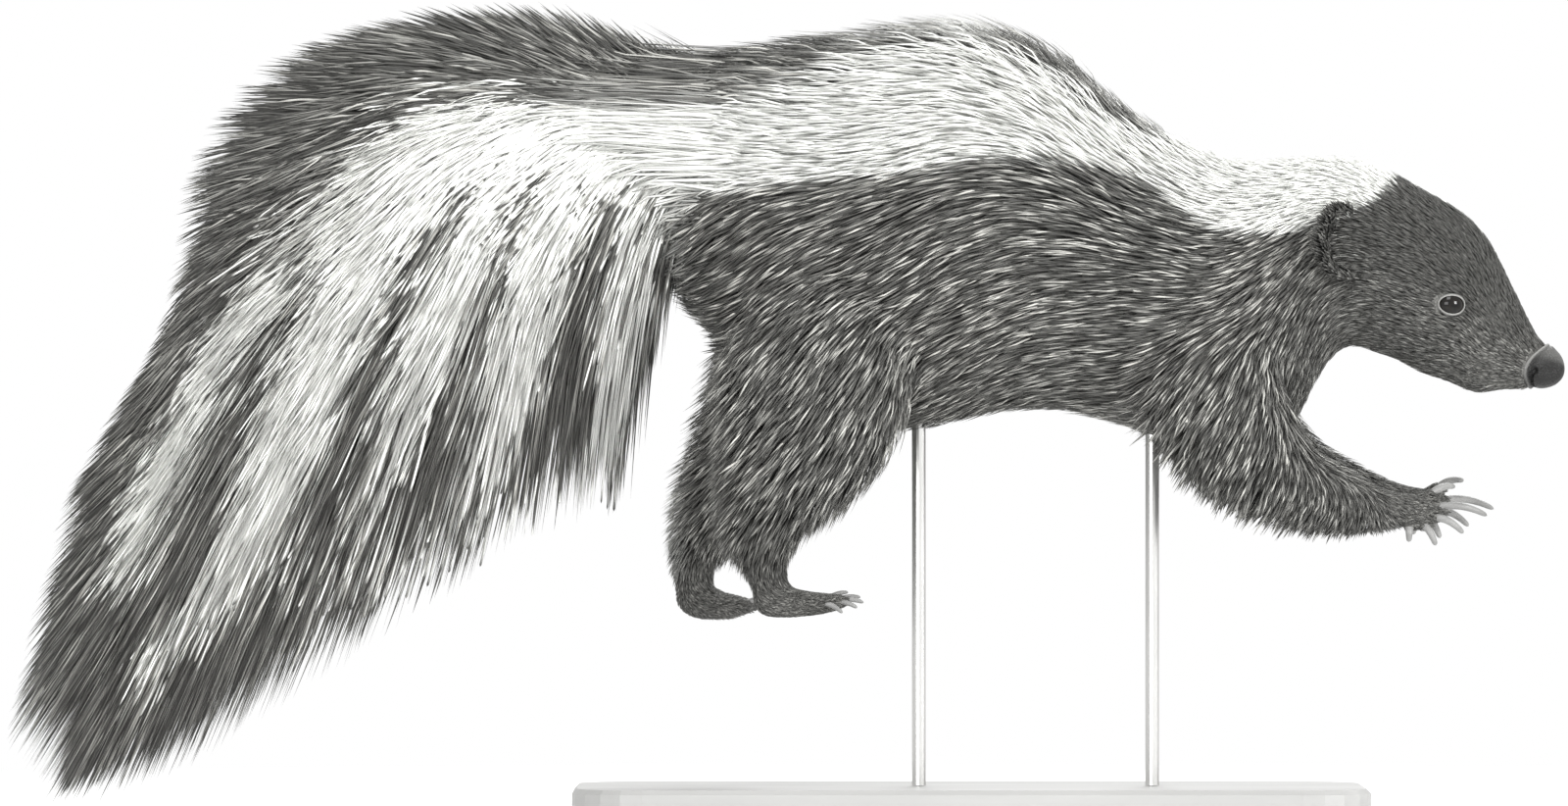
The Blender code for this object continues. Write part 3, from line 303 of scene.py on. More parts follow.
def tail_point(along, angle, out):
    """A point of the plume: out is 0 at the bone and 1 at the hair's tip, and angle is 90 degrees
    above the bone and 0 on its left."""
    row = spline(TAIL, along)
    bone = row[:, 0:2]
    above = bend(bone, row[:, 2:4], row[:, 4:6], out)
    below = bend(bone, row[:, 6:8], row[:, 8:10], out)
    share = ((1 + np.sin(angle)) / 2)[:, None]
    spread = np.asarray(out) ** 0.6 * (1.25 - 0.45 * np.asarray(out))
    return in_side_view(above * share + below * (1 - share), np.cos(angle) * row[:, 10] * spread)


def turns(sides):
    """Angles all the way round, one for each side."""
    return np.arange(sides) * 2 * math.pi / sides


def grid(rows, sides):
    """Every pair of a row place and an angle, as two flat arrays."""
    along, angle = np.meshgrid(rows, turns(sides), indexing="ij")
    return along.ravel(), angle.ravel()


# Meshes

def join_loops(mesh, pairs):
    """Adds the faces between each pair of closed loops of the bmesh's vertices."""
    for lower, upper in pairs:
        for here in range(len(lower)):
            there = (here + 1) % len(lower)
            mesh.faces.new((lower[here], lower[there], upper[there], upper[here]))


def loft(mesh, rings, tips):
    """Adds a closed body through rings of points to the bmesh, closed by a point at each end."""
    loops = [[mesh.verts.new(point) for point in ring] for ring in rings]
    join_loops(mesh, zip(loops, loops[1:]))
    for loop, tip in zip((loops[0], loops[-1]), tips):
        point = mesh.verts.new(tip)
        for here in range(len(loop)):
            mesh.faces.new((loop[here], loop[(here + 1) % len(loop)], point))


def capsule(mesh, start, end, radii, sides=12, steps=4):
    """Adds a round, tapered finger from start to end."""
    start, end = np.asarray(start, float), np.asarray(end, float)
    way = unit(end - start)
    across = unit(np.cross(way, (0.31, 0.52, 0.79)))
    other = np.cross(way, across)
    turn = turns(sides)
    round_ring = np.outer(np.cos(turn), across) + np.outer(np.sin(turn), other)
    rings = []
    for step in range(1, steps):
        lean = math.pi / 2 * step / steps
        rings.append(start - way * radii[0] * math.cos(lean) + round_ring * radii[0] * math.sin(lean))
    rings.extend([start + round_ring * radii[0], end + round_ring * radii[1]])
    for step in range(steps - 1, 0, -1):
        lean = math.pi / 2 * step / steps
        rings.append(end + way * radii[1] * math.cos(lean) + round_ring * radii[1] * math.sin(lean))
    loft(mesh, rings, (start - way * radii[0], end + way * radii[1]))


def object_from(name, data):
    made = bpy.data.objects.new(name, data)
    bpy.context.scene.collection.objects.link(made)
    return made


def object_of(name, mesh):
    """Turns a bmesh into an object whose faces point outwards."""
    bmesh.ops.recalc_face_normals(mesh, faces=mesh.faces)
    data = bpy.data.meshes.new(name)
    mesh.to_mesh(data)
    mesh.free()
    return object_from(name, data)


def settle(obj):
    """Turns the object's modifiers into its mesh."""
    graph = bpy.context.evaluated_depsgraph_get()
    data = bpy.data.meshes.new_from_object(obj.evaluated_get(graph))
    obj.modifiers.clear()
    old, obj.data = obj.data, data
    bpy.data.meshes.remove(old)


def vertices(obj):
    points = np.empty(len(obj.data.vertices) * 3)
    obj.data.vertices.foreach_get("co", points)
    return points.reshape(-1, 3)


def set_vertices(obj, points):
    obj.data.vertices.foreach_set("co", np.asarray(points, np.float32).ravel())
    obj.data.update()


def vertex_normals(obj):
    return np.array([vertex.normal for vertex in obj.data.vertices])


def smooth(obj, levels=0):
    if levels:
        rounded = obj.modifiers.new("round", "SUBSURF")
        rounded.levels = rounded.render_levels = levels
        settle(obj)
    obj.data.shade_smooth()
    return obj


# Paws

def paw_frame(side):
    return np.array((1.0, 0, 0)), np.array((0, side * 0.6, -0.8)), np.array((0, side * 0.8, 0.6))


def palm_middle(name, side):
    return np.array((PALM[0], side * PALM[1], PALM[2])) + PALM_SHIFT[name]


def foot_frame(name, side):
    """The heel, and the forward, outward and upward directions of a hind foot."""
    x, y, z, yaw, pitch = HIND_FEET[name]
    turn = Matrix.Rotation(yaw * side, 3, "Z") @ Matrix.Rotation(pitch, 3, "Y")
    ways = [np.array(turn @ Vector(way)) for way in ((1, 0, 0), (0, side, 0), (0, 0, 1))]
    return np.array((x, y * side, z)), *ways


def oval_ring(middle, first, first_half, second, second_half, sides=16):
    """A ring of points round a middle, in the plane of two directions."""
    turn = turns(sides)
    return middle + np.outer(np.sin(turn) * first_half, first) + np.outer(np.cos(turn) * second_half, second)


def add_forepaw(mesh, name, side):
    forward, outward, back = paw_frame(side)
    middle = palm_middle(name, side)
    rings = [oval_ring(middle + forward * at, back, deep, outward, wide) for at, deep, wide in PALM_RINGS]
    loft(mesh, rings, [middle + forward * end for end in PALM_ENDS])


def add_hindfoot(mesh, name, side):
    heel, forward, outward, upward = foot_frame(name, side)
    rings = [oval_ring(heel + forward * at + upward * lift, upward, deep, outward, wide)
             for at, lift, deep, wide in FOOT_RINGS]
    loft(mesh, rings, [heel + forward * end for end in FOOT_ENDS])
    ankle = np.array(HIND_LIMB[name][-1][:3]) * (1, side, 1)
    capsule(mesh, ankle + (0, 0, 0.006), heel, (0.0074, 0.0062))


def hind_toes(name, side):
    """Where each toe of a hind foot starts, the way it points, its reach and its splay."""
    heel, forward, outward, _ = foot_frame(name, side)
    for splay, reach in HIND_TOES:
        way = forward * math.cos(splay) + outward * math.sin(splay)
        yield heel + forward * TOE_ROOT[0] + outward * math.sin(splay) * TOE_ROOT[1], way, reach, splay


def toe_lines():
    """Each toe's line from the paw to its claw, with its radii."""
    lines = []
    for name, side in SIDES:
        forward, outward, _ = paw_frame(side)
        middle = palm_middle(name, side)
        for root, _, _ in FORE_CLAWS:
            end = middle + forward * root[0] + outward * root[1]
            lines.append((middle + (end - middle) * 0.2, end - unit(end - middle) * 0.0012, FORE_TOE_RADII))
        for root, way, reach, _ in hind_toes(name, side):
            lines.append((root, root + way * (reach - 0.0046), HIND_TOE_RADII))
    return lines


# Skin

def ring_of(points_at, sides, along):
    """A ring of a form's points. points_at takes rows and angles."""
    return points_at(np.full(sides, along), turns(sides))


def way_of(points_at, along, angle, ahead=0.0, turned=0.0):
    """The way that a form's surface runs as the row or the angle grows."""
    return unit(points_at(along + ahead, angle + turned) - points_at(along - ahead, angle - turned))


def trunk_skin():
    return partial(trunk_point, share=SKIN_SHARE)


def limb_skins():
    """Each limb's kind, rows, side of the body and skin."""
    for kind, table in ((HIND_FORM, HIND_LIMB), (FORE_FORM, FORE_LIMB)):
        for name, side in SIDES:
            yield kind, np.array(table[name]), side, partial(limb_point, table[name], side, share=SKIN_SHARE)


def past_end(rings, length):
    """A point that lies beyond the last ring, on the rings' own way."""
    end = np.mean(rings[-1], 0)
    return end + unit(end - np.mean(rings[-2], 0)) * length


def skin_form():
    """The closed forms that make up the flesh under the coat, still separate."""
    mesh = bmesh.new()
    rows = np.linspace(0, len(TRUNK) - 1, 4 * (len(TRUNK) - 1) + 1)
    rings = [ring_of(trunk_skin(), 48, at) for at in rows]
    rear, front = np.mean(rings[0], 0), np.mean(rings[-1], 0)
    rings.insert(0, rear + (rings[0] - rear) * 0.8 + (-0.004, 0, 0))
    loft(mesh, rings, (rear + (-0.007, 0, 0), front + (0.003, 0, -0.001)))
    rows = np.linspace(0, LIMB_ROWS, 25)
    for _, _, _, points_at in limb_skins():
        rings = [ring_of(points_at, 24, at) for at in rows]
        loft(mesh, rings, (np.mean(rings[0], 0) + (0, 0, 0.008), past_end(rings, 0.003)))
    root_x, root_z, high, wide = TAIL_ROOT
    turn = turns(32)
    rings = [np.stack([np.full(32, root_x), np.cos(turn) * wide, root_z + np.sin(turn) * high], 1)]
    rings += [ring_of(partial(tail_point, out=np.full(32, SKIN_TAIL)), 32, at) for at in rows]
    loft(mesh, rings, ((root_x + 0.01, 0, root_z), past_end(rings, 0.008)))
    for name, side in SIDES:
        add_forepaw(mesh, name, side)
        add_hindfoot(mesh, name, side)
    return object_of("skin", mesh)


def edge_ends(obj):
    ends = np.empty(len(obj.data.edges) * 2, int)
    obj.data.edges.foreach_get("vertices", ends)
    return ends.reshape(-1, 2)


def averaged(values, ends, times, part=1.0):
    """The values of vertices, evened out along the mesh's edges."""
    count = np.bincount(ends.ravel(), minlength=len(values)).astype(float)[:, None]
    values = values.copy()
    for _ in range(times):
        total = np.zeros_like(values)
        np.add.at(total, ends[:, 0], values[ends[:, 1]])
        np.add.at(total, ends[:, 1], values[ends[:, 0]])
        values += (total / count - values) * part
    return values


def finer(obj, from_x):
    """Halves the faces of the skin in front of this x."""
    mesh = bmesh.new()
    mesh.from_mesh(obj.data)
    edges = [edge for edge in mesh.edges if min(vert.co.x for vert in edge.verts) > from_x
             and min(vert.co.z for vert in edge.verts) > HEAD_ABOVE]
    bmesh.ops.subdivide_edges(mesh, edges=edges, cuts=1, use_grid_fill=True)
    bmesh.ops.triangulate(mesh, faces=[face for face in mesh.faces if len(face.verts) > 4])
    mesh.to_mesh(obj.data)
    mesh.free()


def build_skin():
    skin = skin_form()
    remesh = skin.modifiers.new("remesh", "REMESH")
    remesh.mode = "VOXEL"
    remesh.voxel_size = SKIN_VOXEL
    settle(skin)
    set_vertices(skin, averaged(vertices(skin), edge_ends(skin), 5, 0.5))
    for from_x in (HEAD_FROM, MUZZLE_FROM):
        finer(skin, from_x)
        points = vertices(skin)
        eased = averaged(points, edge_ends(skin), 3, 0.5)
        front = (points[:, 0:1] > from_x - EASE_BEHIND) & (points[:, 2:3] > EASE_ABOVE)
        set_vertices(skin, np.where(front, eased, points))
    return skin


# Head

EYE_PLACE = (0.2050, 0.2180)  # x and z in the side view
EYE_RADIUS = 0.0069
EYE_PROUD = 0.0023  # how far the eyeball stands out of the skin
EYE_OPEN = (0.0055, 0.0038)  # half length and half height between the lids
CORNEA_SWELL = 0.00035
# The lids from their inner edge outwards: how far out of the opening, how far above the eyeball,
# and how pale
LID_PROFILE = (
    (0.0, -0.0004, 1.0),
    (0.0, 0.0005, 1.0),
    (0.10, 0.0009, 1.0),
    (0.42, 0.0007, 0.8),
    (0.68, 0.0001, 0.0),
    (1.00, -0.0017, 0.0),
    (0.50, -0.0030, 0.0),
)
LID_SPREAD = (0.34, 0.52)
MOUTH_LINE = ((0.2335, 0.1851), (0.2290, 0.1845), (0.2220, 0.1850), (0.2140, 0.1862),
              (0.2060, 0.1885), (0.1985, 0.1920))  # x and z in the side view
# Relief of the face: how far each form is raised or sunk, and how wide it is
MOUTH_GROOVE = (0.0018, 0.0008)
LIP_SWELL, LIP_AWAY = (0.0007, 0.0010), 0.0020
EYE_SOCKET = (0.0016, 0.0072)
BROW_SWELL, BROW_PLACE = (0.0009, 0.0050), (0.001, 0, 0.0085)
EAR_PLACE = (0.1590, 0.2432)
EAR_RADII = (0.0074, 0.0118)  # at its root, fore and aft and up and down
EAR_HEIGHT = 0.0100
EAR_THICKNESS = 0.0022
EAR_ROUND = (-2.05, 1.90)  # from its lower front end round its back to its upper front end
NOSE_MIDDLE = (0.2462, 0.0, 0.1918)


def surface_tree(obj):
    obj.data.calc_loop_triangles()
    faces = [tuple(face.vertices) for face in obj.data.loop_triangles]
    return BVHTree.FromPolygons([tuple(point) for point in vertices(obj)], faces), np.array(faces)


def on_flank(tree, x, z, side):
    """The point of the head's side at this x and z, and the way it faces."""
    place, normal, _, _ = tree.ray_cast(Vector((x, side * 0.2, z)), Vector((0, -side, 0)))
    return np.array(place), np.array(normal)


def nearest_on_line(points, line):
    """How far each point is from a polyline, and how far along it the nearest place is, 0 to 1."""
    best, where = np.full(len(points), 9.0), np.zeros(len(points))
    for number, (start, end) in enumerate(zip(line, line[1:])):
        span = end - start
        part = np.clip((points - start) @ span / (span @ span), 0, 1)
        gap = np.linalg.norm(points - (start + part[:, None] * span), axis=1)
        where = np.where(gap < best, (number + part) / (len(line) - 1), where)
        best = np.minimum(best, gap)
    return best, where


def swell(gap, size):
    """A soft swelling of a height and a width, at a distance from its middle."""
    return size[0] * np.exp(-((gap / size[1]) ** 2))


def shape_face(skin, lips):
    """Sinks the eye sockets and the line of the mouth, and raises lips and brows."""
    tree, _ = surface_tree(skin)
    points = vertices(skin)
    shift = np.zeros(len(points))
    for (_, side), line in zip(SIDES, lips):
        gap, where = nearest_on_line(points, line)
        shift += (1 - 0.5 * where) * (swell(gap - LIP_AWAY, LIP_SWELL) - swell(gap, MOUTH_GROOVE))
        eye, _ = on_flank(tree, *EYE_PLACE, side)
        shift -= swell(np.linalg.norm((points - eye) * (1, 1, 1.25), axis=1), EYE_SOCKET)
        shift += swell(np.linalg.norm(points - (eye + BROW_PLACE), axis=1), BROW_SWELL)
    points = points + vertex_normals(skin) * shift[:, None]
    past, out = past_fold(points)
    most = 1.12 - 0.40 * smooth_step(-0.0016, 0.0012, past)
    share = np.where(past > -0.0016, np.minimum(1, most / np.maximum(out, 1e-6)), 1)
    middle = np.array((0, 0, NOSE_MIDDLE[2]))
    set_vertices(skin, (points - middle) * np.stack([np.ones(len(points)), share, share], 1) + middle)


def eye_frame(tree, side):
    """An eye's middle, the way it looks, and its forward and upward directions."""
    place, normal = on_flank(tree, *EYE_PLACE, side)
    look = unit(normal * (0.8, 1.0, 0.7) + (0, side * 0.35, 0))
    middle = place - look * (EYE_RADIUS - EYE_PROUD)
    forth = np.array((1.0, 0.0, -0.10))
    forth = unit(forth - look * (forth @ look))
    above = np.cross(look, forth)
    return middle, look, forth, above * np.sign(above[2])


def eyelids(name, frame_of_eye):
    """A rim round the opening, lying on the eyeball, whose outer side sinks into the skin."""
    middle, look, forth, above = frame_of_eye
    around = 64
    turn = turns(around)
    mesh = bmesh.new()
    loops = []
    for out, lift, _ in LID_PROFILE:
        across = np.cos(turn) * EYE_OPEN[0] * (1 + out * LID_SPREAD[0])
        rise = np.sin(turn) * EYE_OPEN[1] * (1 + out * LID_SPREAD[1])
        depth = np.sqrt(np.maximum((EYE_RADIUS + lift) ** 2 - across**2 - rise**2, 0))
        points = middle + np.outer(depth, look) + np.outer(across, forth) + np.outer(rise, above)
        loops.append([mesh.verts.new(point) for point in points])
    join_loops(mesh, zip(loops, loops[1:] + loops[:1]))
    made = object_of(name, mesh)
    set_attribute(made.data, "rim", np.repeat([pale for _, _, pale in LID_PROFILE], around))
    return smooth(made, 1)


def eyeball(name, frame_of_eye):
    """An eyeball with the cornea's low swell."""
    middle, look, _, _ = frame_of_eye
    mesh = bmesh.new()
    place = Matrix.Translation(middle) @ Matrix.Scale(EYE_RADIUS, 4)
    bmesh.ops.create_uvsphere(mesh, u_segments=48, v_segments=32, radius=1.0, matrix=place)
    made = object_of(name, mesh)
    points = vertices(made)
    out = unit(points - middle)
    set_vertices(made, points + out * (CORNEA_SWELL * smooth_step(0.55, 0.95, out @ look))[:, None])
    return smooth(made)


def ear_frame(tree, side):
    place, normal = on_flank(tree, *EAR_PLACE, side)
    forth = unit(np.array((1.0, 0, 0)) - normal * normal[0])
    above = np.cross(normal, forth)
    return place, normal, forth, above * np.sign(above[2])


def ear_height(turn):
    return EAR_HEIGHT * np.maximum(np.cos((turn - 0.15) * 0.72), 0.03) ** 0.7


def add_ear(mesh, ear_way):
    """Adds a low round ear: a wall that stands round the back of its opening and flares out."""
    place, normal, forth, above = ear_way
    rings = []
    for turn in np.linspace(*EAR_ROUND, 34):
        outward = -math.cos(turn) * EAR_RADII[0] * forth + math.sin(turn) * EAR_RADII[1] * above
        height = ear_height(turn)
        ring = []
        for half, steps in ((0.5, (0.0, 0.3, 0.6, 0.85, 1.0)), (-0.5, (1.0, 0.85, 0.6, 0.3, 0.0))):
            for step in steps:
                flare = 1 + 0.34 * step**1.3 - 0.10 * smooth_step(0.7, 1.0, step)
                thick = EAR_THICKNESS * half * (1 - 0.45 * step**4)
                ring.append(place + outward * flare + unit(outward) * thick
                            + normal * (height * step - 0.002 * (1 - step)))
        rings.append(ring)
    ends = [np.mean(ring, 0) for ring in (rings[0], rings[-1])]
    loft(mesh, rings, [end + forth * 0.0006 for end in ends])


# The nostril's comma on the left, from its thin end below up along the fold to its wide end
NOSTRIL = ((0.2414, 0.0030, 0.1831), (0.2401, 0.0052, 0.1848), (0.2396, 0.0068, 0.1868),
           (0.2400, 0.0076, 0.1886), (0.2411, 0.0081, 0.1898))
# The nose from inside the muzzle to its tip: the share of the way from the fold to the tip, the
# share of the fold's size, and paleness
NOSE_ROWS = np.array((
    (-0.30, 0.84, 0.1), (-0.10, 0.95, 0.2), (-0.03, 1.01, 0.8), (0.02, 1.015, 1.0), (0.06, 0.96, 0.6),
    (0.10, 0.925, 0.0), (0.20, 0.955, 0.0), (0.32, 0.955, 0.0), (0.46, 0.91, 0.0), (0.60, 0.83, 0.0),
    (0.75, 0.70, 0.0), (0.88, 0.51, 0.0), (0.96, 0.30, 0.0), (0.995, 0.10, 0.0),
))
NOSE_FOLD = (0.0086, 0.0096)  # half width and half height of the fold behind the nose
NOSE_TIP = 0.2549
NOSE_GROOVE = (0.0008, 0.0006)  # its depth and width
NOSTRIL_DEPTH, NOSTRIL_SIZE = (0.0009, 0.0007), (0.0005, 0.0008)  # at its thin end, and added at the other
NOSTRIL_LIP = (0.0003, 0.0006)


def fold_x(rise):
    """How far forward the fold lies at a height: rise is 1 at its top and -1 at its bottom."""
    return 0.2377 + 0.0038 * rise + 0.0063 * rise**2


def past_fold(points):
    """How far in front of the fold each point is, and how far out of its middle line."""
    out = np.hypot(points[:, 1] / NOSE_FOLD[0], (points[:, 2] - NOSE_MIDDLE[2]) / NOSE_FOLD[1])
    rise = (points[:, 2] - NOSE_MIDDLE[2]) / NOSE_FOLD[1] / np.maximum(out, 1e-6)
    return points[:, 0] - fold_x(np.clip(rise, -1, 1)), out


def nose():
    """The bare nose: a pale fold of skin where it leaves the fur, then a ball with a groove down
    its front and comma-shaped nostrils."""
    rows = spline(NOSE_ROWS, np.linspace(0, len(NOSE_ROWS) - 1, 84))
    turn = turns(112)
    rise, out = np.sin(turn), np.cos(turn)
    rings = []
    for along, share, _ in rows:
        x = fold_x(rise) + (NOSE_TIP - fold_x(rise)) * along
        high = 1 - 0.15 * smooth_step(0.05, 0.60, along) * np.maximum(rise, 0)
        z = NOSE_MIDDLE[2] - 0.0014 * max(along, 0) + NOSE_FOLD[1] * share * rise * high
        rings.append(np.stack([x, NOSE_FOLD[0] * share * out, z], 1))
    mesh = bmesh.new()
    loft(mesh, rings, (np.mean(rings[0], 0), np.mean(rings[-1], 0) + (0.00002, 0, 0)))
    made = object_of("nose_pad", mesh)
    points = vertices(made)
    ways = unit(points - (np.array(NOSE_MIDDLE) + (0, 0, -0.0005)))
    # Painted light and shade: the nose is painted paler towards its top and darker towards its bottom, as
    # light from above and shade below, and the fold's own paleness is painted stronger on its top.
    painted_top_light = np.tile(0.06 + 0.40 * smooth_step(0.0, 0.9, rise), len(rows))
    pale = np.clip(np.repeat(rows[:, 2], len(turn)), 0, 1) * np.tile(0.66 + 0.34 * rise, len(rows))
    rim = np.concatenate([np.maximum(painted_top_light, pale), (0.1, 0.1)])
    shift = -swell(points[:, 1], NOSE_GROOVE) * smooth_step(0.5, 0.8, ways[:, 0])
    shift *= smooth_step(0.80, 0.35, ways[:, 2])
    for _, side in SIDES:
        gap, where = nearest_on_line(points, np.array(NOSTRIL) * (1, side, 1))
        size = NOSTRIL_SIZE[0] + NOSTRIL_SIZE[1] * where
        hole = swell(gap, (1, size))
        shift -= (NOSTRIL_DEPTH[0] + NOSTRIL_DEPTH[1] * where) * hole
        shift += swell(gap - size * 1.8, NOSTRIL_LIP)
        # Painted shade: the rim value is pushed towards black inside each carved nostril, where shade falls.
        rim *= 1 - np.minimum(1, 1.4 * hole)
    set_vertices(made, points + ways * shift[:, None])
    set_attribute(made.data, "rim", rim)
    return smooth(made)


# Lie of the coat

def limb_lie(kind, along, way, upward):
    """The way that a limb's coat runs: back and down from its top, and along it near the paw and
    on a fore limb's upper side."""
    free, *turn = ((-0.60, 0, -0.80), 3.2, 5.0) if kind == HIND_FORM else ((-0.50, 0, -0.86), 4.6, 5.9)
    part = smooth_step(*turn, along)
    if kind == FORE_FORM:
        part = np.maximum(part, smooth_step(0.25, 0.75, upward))
    return unit(np.array(free) * (1 - part[:, None]) + way * part[:, None])


def form_samples(ears):
    """Points all over the forms, with the way that their coat runs, the coat's depth outside the
    skin and the kind of form."""
    found = []

    def add(places, lies, depth, kind):
        count = len(places)
        lies, depth = np.broadcast_to(lies, (count, 3)), np.broadcast_to(depth, count)
        found.append((places, lies, depth, np.full(count, kind)))

    along, angle = grid(np.linspace(0, len(TRUNK) - 2, 145), 72)
    back = -way_of(trunk_skin(), along, angle, ahead=FORM_STEP)
    around = way_of(trunk_skin(), along, angle, turned=FORM_STEP)
    steep = STEEPNESS * (1 - 0.75 * smooth_step(*NECK_ROWS, along))
    level = 0.45 + 0.45 * smooth_step(*BACK_ROWS, along)
    steep = steep * (1 - level * smooth_step(0.0, 0.45, np.sin(angle)))
    steep = steep + smooth_step(*HAUNCH_ROWS, along) * smooth_step(0.35, -0.10, np.sin(angle))
    row, rise = spline(TRUNK, along), np.sin(angle) ** 2
    depth = np.where(np.sin(angle) > 0, row[:, 5], row[:, 7]) * rise + row[:, 6] * (1 - rise)
    lie = unit(back - around * (np.cos(angle) * steep)[:, None])
    add(trunk_skin()(along, angle), lie, depth, TRUNK_FORM)

    along, angle = grid(np.linspace(0, LIMB_ROWS, 49), 32)
    for kind, rows, side, points_at in limb_skins():
        here = points_at(along, angle)
        row = spline(rows * (1, side, 1, 1, 1, 1), along)
        way = way_of(points_at, along, angle, ahead=FORM_STEP)
        add(here, limb_lie(kind, along, way, unit(here - row[:, :3])[:, 2]), row[:, 5], kind)
    along, angle = grid(np.linspace(0, LIMB_ROWS, 61), 40)
    core = partial(tail_point, out=np.full(len(along), SKIN_TAIL))
    add(core(along, angle), way_of(core, along, angle, ahead=FORM_STEP), CORE_COAT, TAIL_FORM)

    along, angle = grid(np.linspace(0, 1, 5), 12)
    across, upward = np.cos(angle), np.sin(angle)
    for name, side in SIDES:
        paw = palm_middle(name, side) + np.stack([along * 0.02 - 0.006, across * 0.008, upward * 0.008], 1)
        add(paw, (1.0, 0, -0.1), PAW_COAT, FORE_FORM)
        heel, forward, _, _ = foot_frame(name, side)
        foot = heel + np.outer(along * 0.036 - 0.006, forward)
        add(foot + np.stack([angle * 0, across * 0.009, upward * 0.007], 1), forward, PAW_COAT, HIND_FORM)
    turn, step = np.meshgrid(np.linspace(*EAR_ROUND, 24), np.linspace(0.25, 1, 5))
    turn, step = turn.ravel(), step.ravel()
    for place, normal, forth, above in ears:
        outward = -np.outer(np.cos(turn) * EAR_RADII[0], forth) + np.outer(np.sin(turn) * EAR_RADII[1], above)
        spot = place + outward * (1 + 0.2 * step[:, None]) + np.outer(ear_height(turn) * step, normal)
        add(spot, unit(normal * 0.8 + above * 0.45 - forth * 0.35), EAR_COAT, EAR_FORM)
    return [np.concatenate(part) for part in zip(*found)]


def comb_skin(skin, ears):
    """For each vertex of the skin: the way its coat runs, the coat's depth and the form's kind."""
    places, lies, depths, kinds = form_samples(ears)
    tree = KDTree(len(places))
    for number, place in enumerate(places):
        tree.insert(place, number)
    tree.balance()
    points, normals, ends = vertices(skin), vertex_normals(skin), edge_ends(skin)
    near = np.array([tree.find(point)[1] for point in points])
    kind = kinds[near]
    loose = unit(averaged(lies[near], ends, LIE_SMOOTHING))
    off = np.sum(loose * normals, 1, keepdims=True)
    depth = averaged(depths[near][:, None], ends, DEPTH_SMOOTHING)[:, 0]
    x, _, z = points.T
    limb = ((kind == HIND_FORM) | (kind == FORE_FORM)) * smooth_step(0.003, 0.008, depth)
    limb = limb * smooth_step(0.3, -0.2, normals[:, 2])
    rump = smooth_step(-0.088, -0.106, x) * smooth_step(0.285, 0.250, z) * (kind != TAIL_FORM)
    ragged = averaged(np.maximum(limb * 0.5, rump)[:, None], ends, RAGGED_SMOOTHING)
    away = loose - normals * np.minimum(off, 0) + normals * (0.10 + 0.36 * ragged)
    return {"points": points, "normals": normals, "lie": unit(loose - normals * off), "depth": depth,
            "loose": unit(away), "off": np.clip(off[:, 0] + 0.5 * ragged[:, 0], 0, 1), "kind": kind}


# Markings, as lines of the side view

FLANK_LINE = (
    (-0.1365, 0.2394), (-0.1302, 0.2541), (-0.1176, 0.2638), (-0.0966, 0.2680), (-0.0588, 0.2709),
    (-0.0210, 0.2751), (0.0042, 0.2793), (0.0336, 0.2806), (0.0546, 0.2772), (0.0714, 0.2709),
    (0.0840, 0.2625), (0.0966, 0.2528), (0.1134, 0.2470), (0.1344, 0.2478), (0.1533, 0.2541),
    (0.1722, 0.2625), (0.1827, 0.2730), (0.1860, 0.3000),
)
TOP_LINE = (
    (-0.3906, 0.0546), (-0.3759, 0.0966), (-0.3570, 0.1512), (-0.3423, 0.1722), (-0.3318, 0.2058),
    (-0.3192, 0.2226), (-0.3066, 0.2436), (-0.2898, 0.2646), (-0.2688, 0.2856), (-0.2478, 0.3003),
    (-0.2268, 0.3129), (-0.2058, 0.3142), (-0.1806, 0.3129), (-0.1638, 0.3087), (-0.1470, 0.2990),
    (-0.1302, 0.3020), (-0.0995, 0.3062), (-0.0882, 0.3108), (-0.0672, 0.3171), (-0.0500, 0.3330),
    (-0.0400, 0.3600),
)
# Dark band along the middle of the back: x, how far it lies to the right, half width and strength
CREST = (
    (-0.140, 0.000, 0.030, 1.0), (-0.100, 0.003, 0.023, 1.0), (-0.085, 0.005, 0.018, 0.92),
    (-0.072, 0.007, 0.015, 0.55), (-0.060, 0.008, 0.016, 0.88), (-0.030, 0.008, 0.016, 0.88),
    (-0.014, 0.009, 0.015, 0.72), (-0.004, 0.009, 0.014, 0.35), (0.006, 0.009, 0.015, 0.55),
    (0.015, 0.009, 0.017, 0.95), (0.060, 0.008, 0.014, 0.95), (0.080, 0.006, 0.010, 0.85),
    (0.092, 0.004, 0.006, 0.50), (0.100, 0.003, 0.004, 0.50), (0.108, 0.002, 0.002, 0.0),
)
# White streaks of the tail: each a line of x, z and half width
WHITE_STREAKS = (
    ((-0.095, 0.286, 0.020), (-0.130, 0.284, 0.019), (-0.164, 0.283, 0.020), (-0.195, 0.280, 0.024),
     (-0.225, 0.280, 0.024), (-0.250, 0.262, 0.022), (-0.272, 0.240, 0.014)),
    ((-0.297, 0.226, 0.007), (-0.323, 0.195, 0.007), (-0.352, 0.129, 0.008), (-0.363, 0.100, 0.003)),
    ((-0.256, 0.243, 0.015), (-0.294, 0.150, 0.0155), (-0.322, 0.100, 0.0125), (-0.352, 0.062, 0.004)),
    ((-0.215, 0.250, 0.014), (-0.2335, 0.198, 0.0125), (-0.242, 0.170, 0.0112), (-0.251, 0.146, 0.007),
     (-0.256, 0.130, 0.002)),
    ((-0.180, 0.262, 0.014), (-0.1925, 0.200, 0.0130), (-0.1985, 0.170, 0.0112), (-0.206, 0.147, 0.0075),
     (-0.212, 0.130, 0.002)),
    ((-0.145, 0.262, 0.008), (-0.148, 0.215, 0.0070), (-0.151, 0.200, 0.0075), (-0.154, 0.170, 0.0065),
     (-0.160, 0.143, 0.0045), (-0.164, 0.126, 0.003)),
)
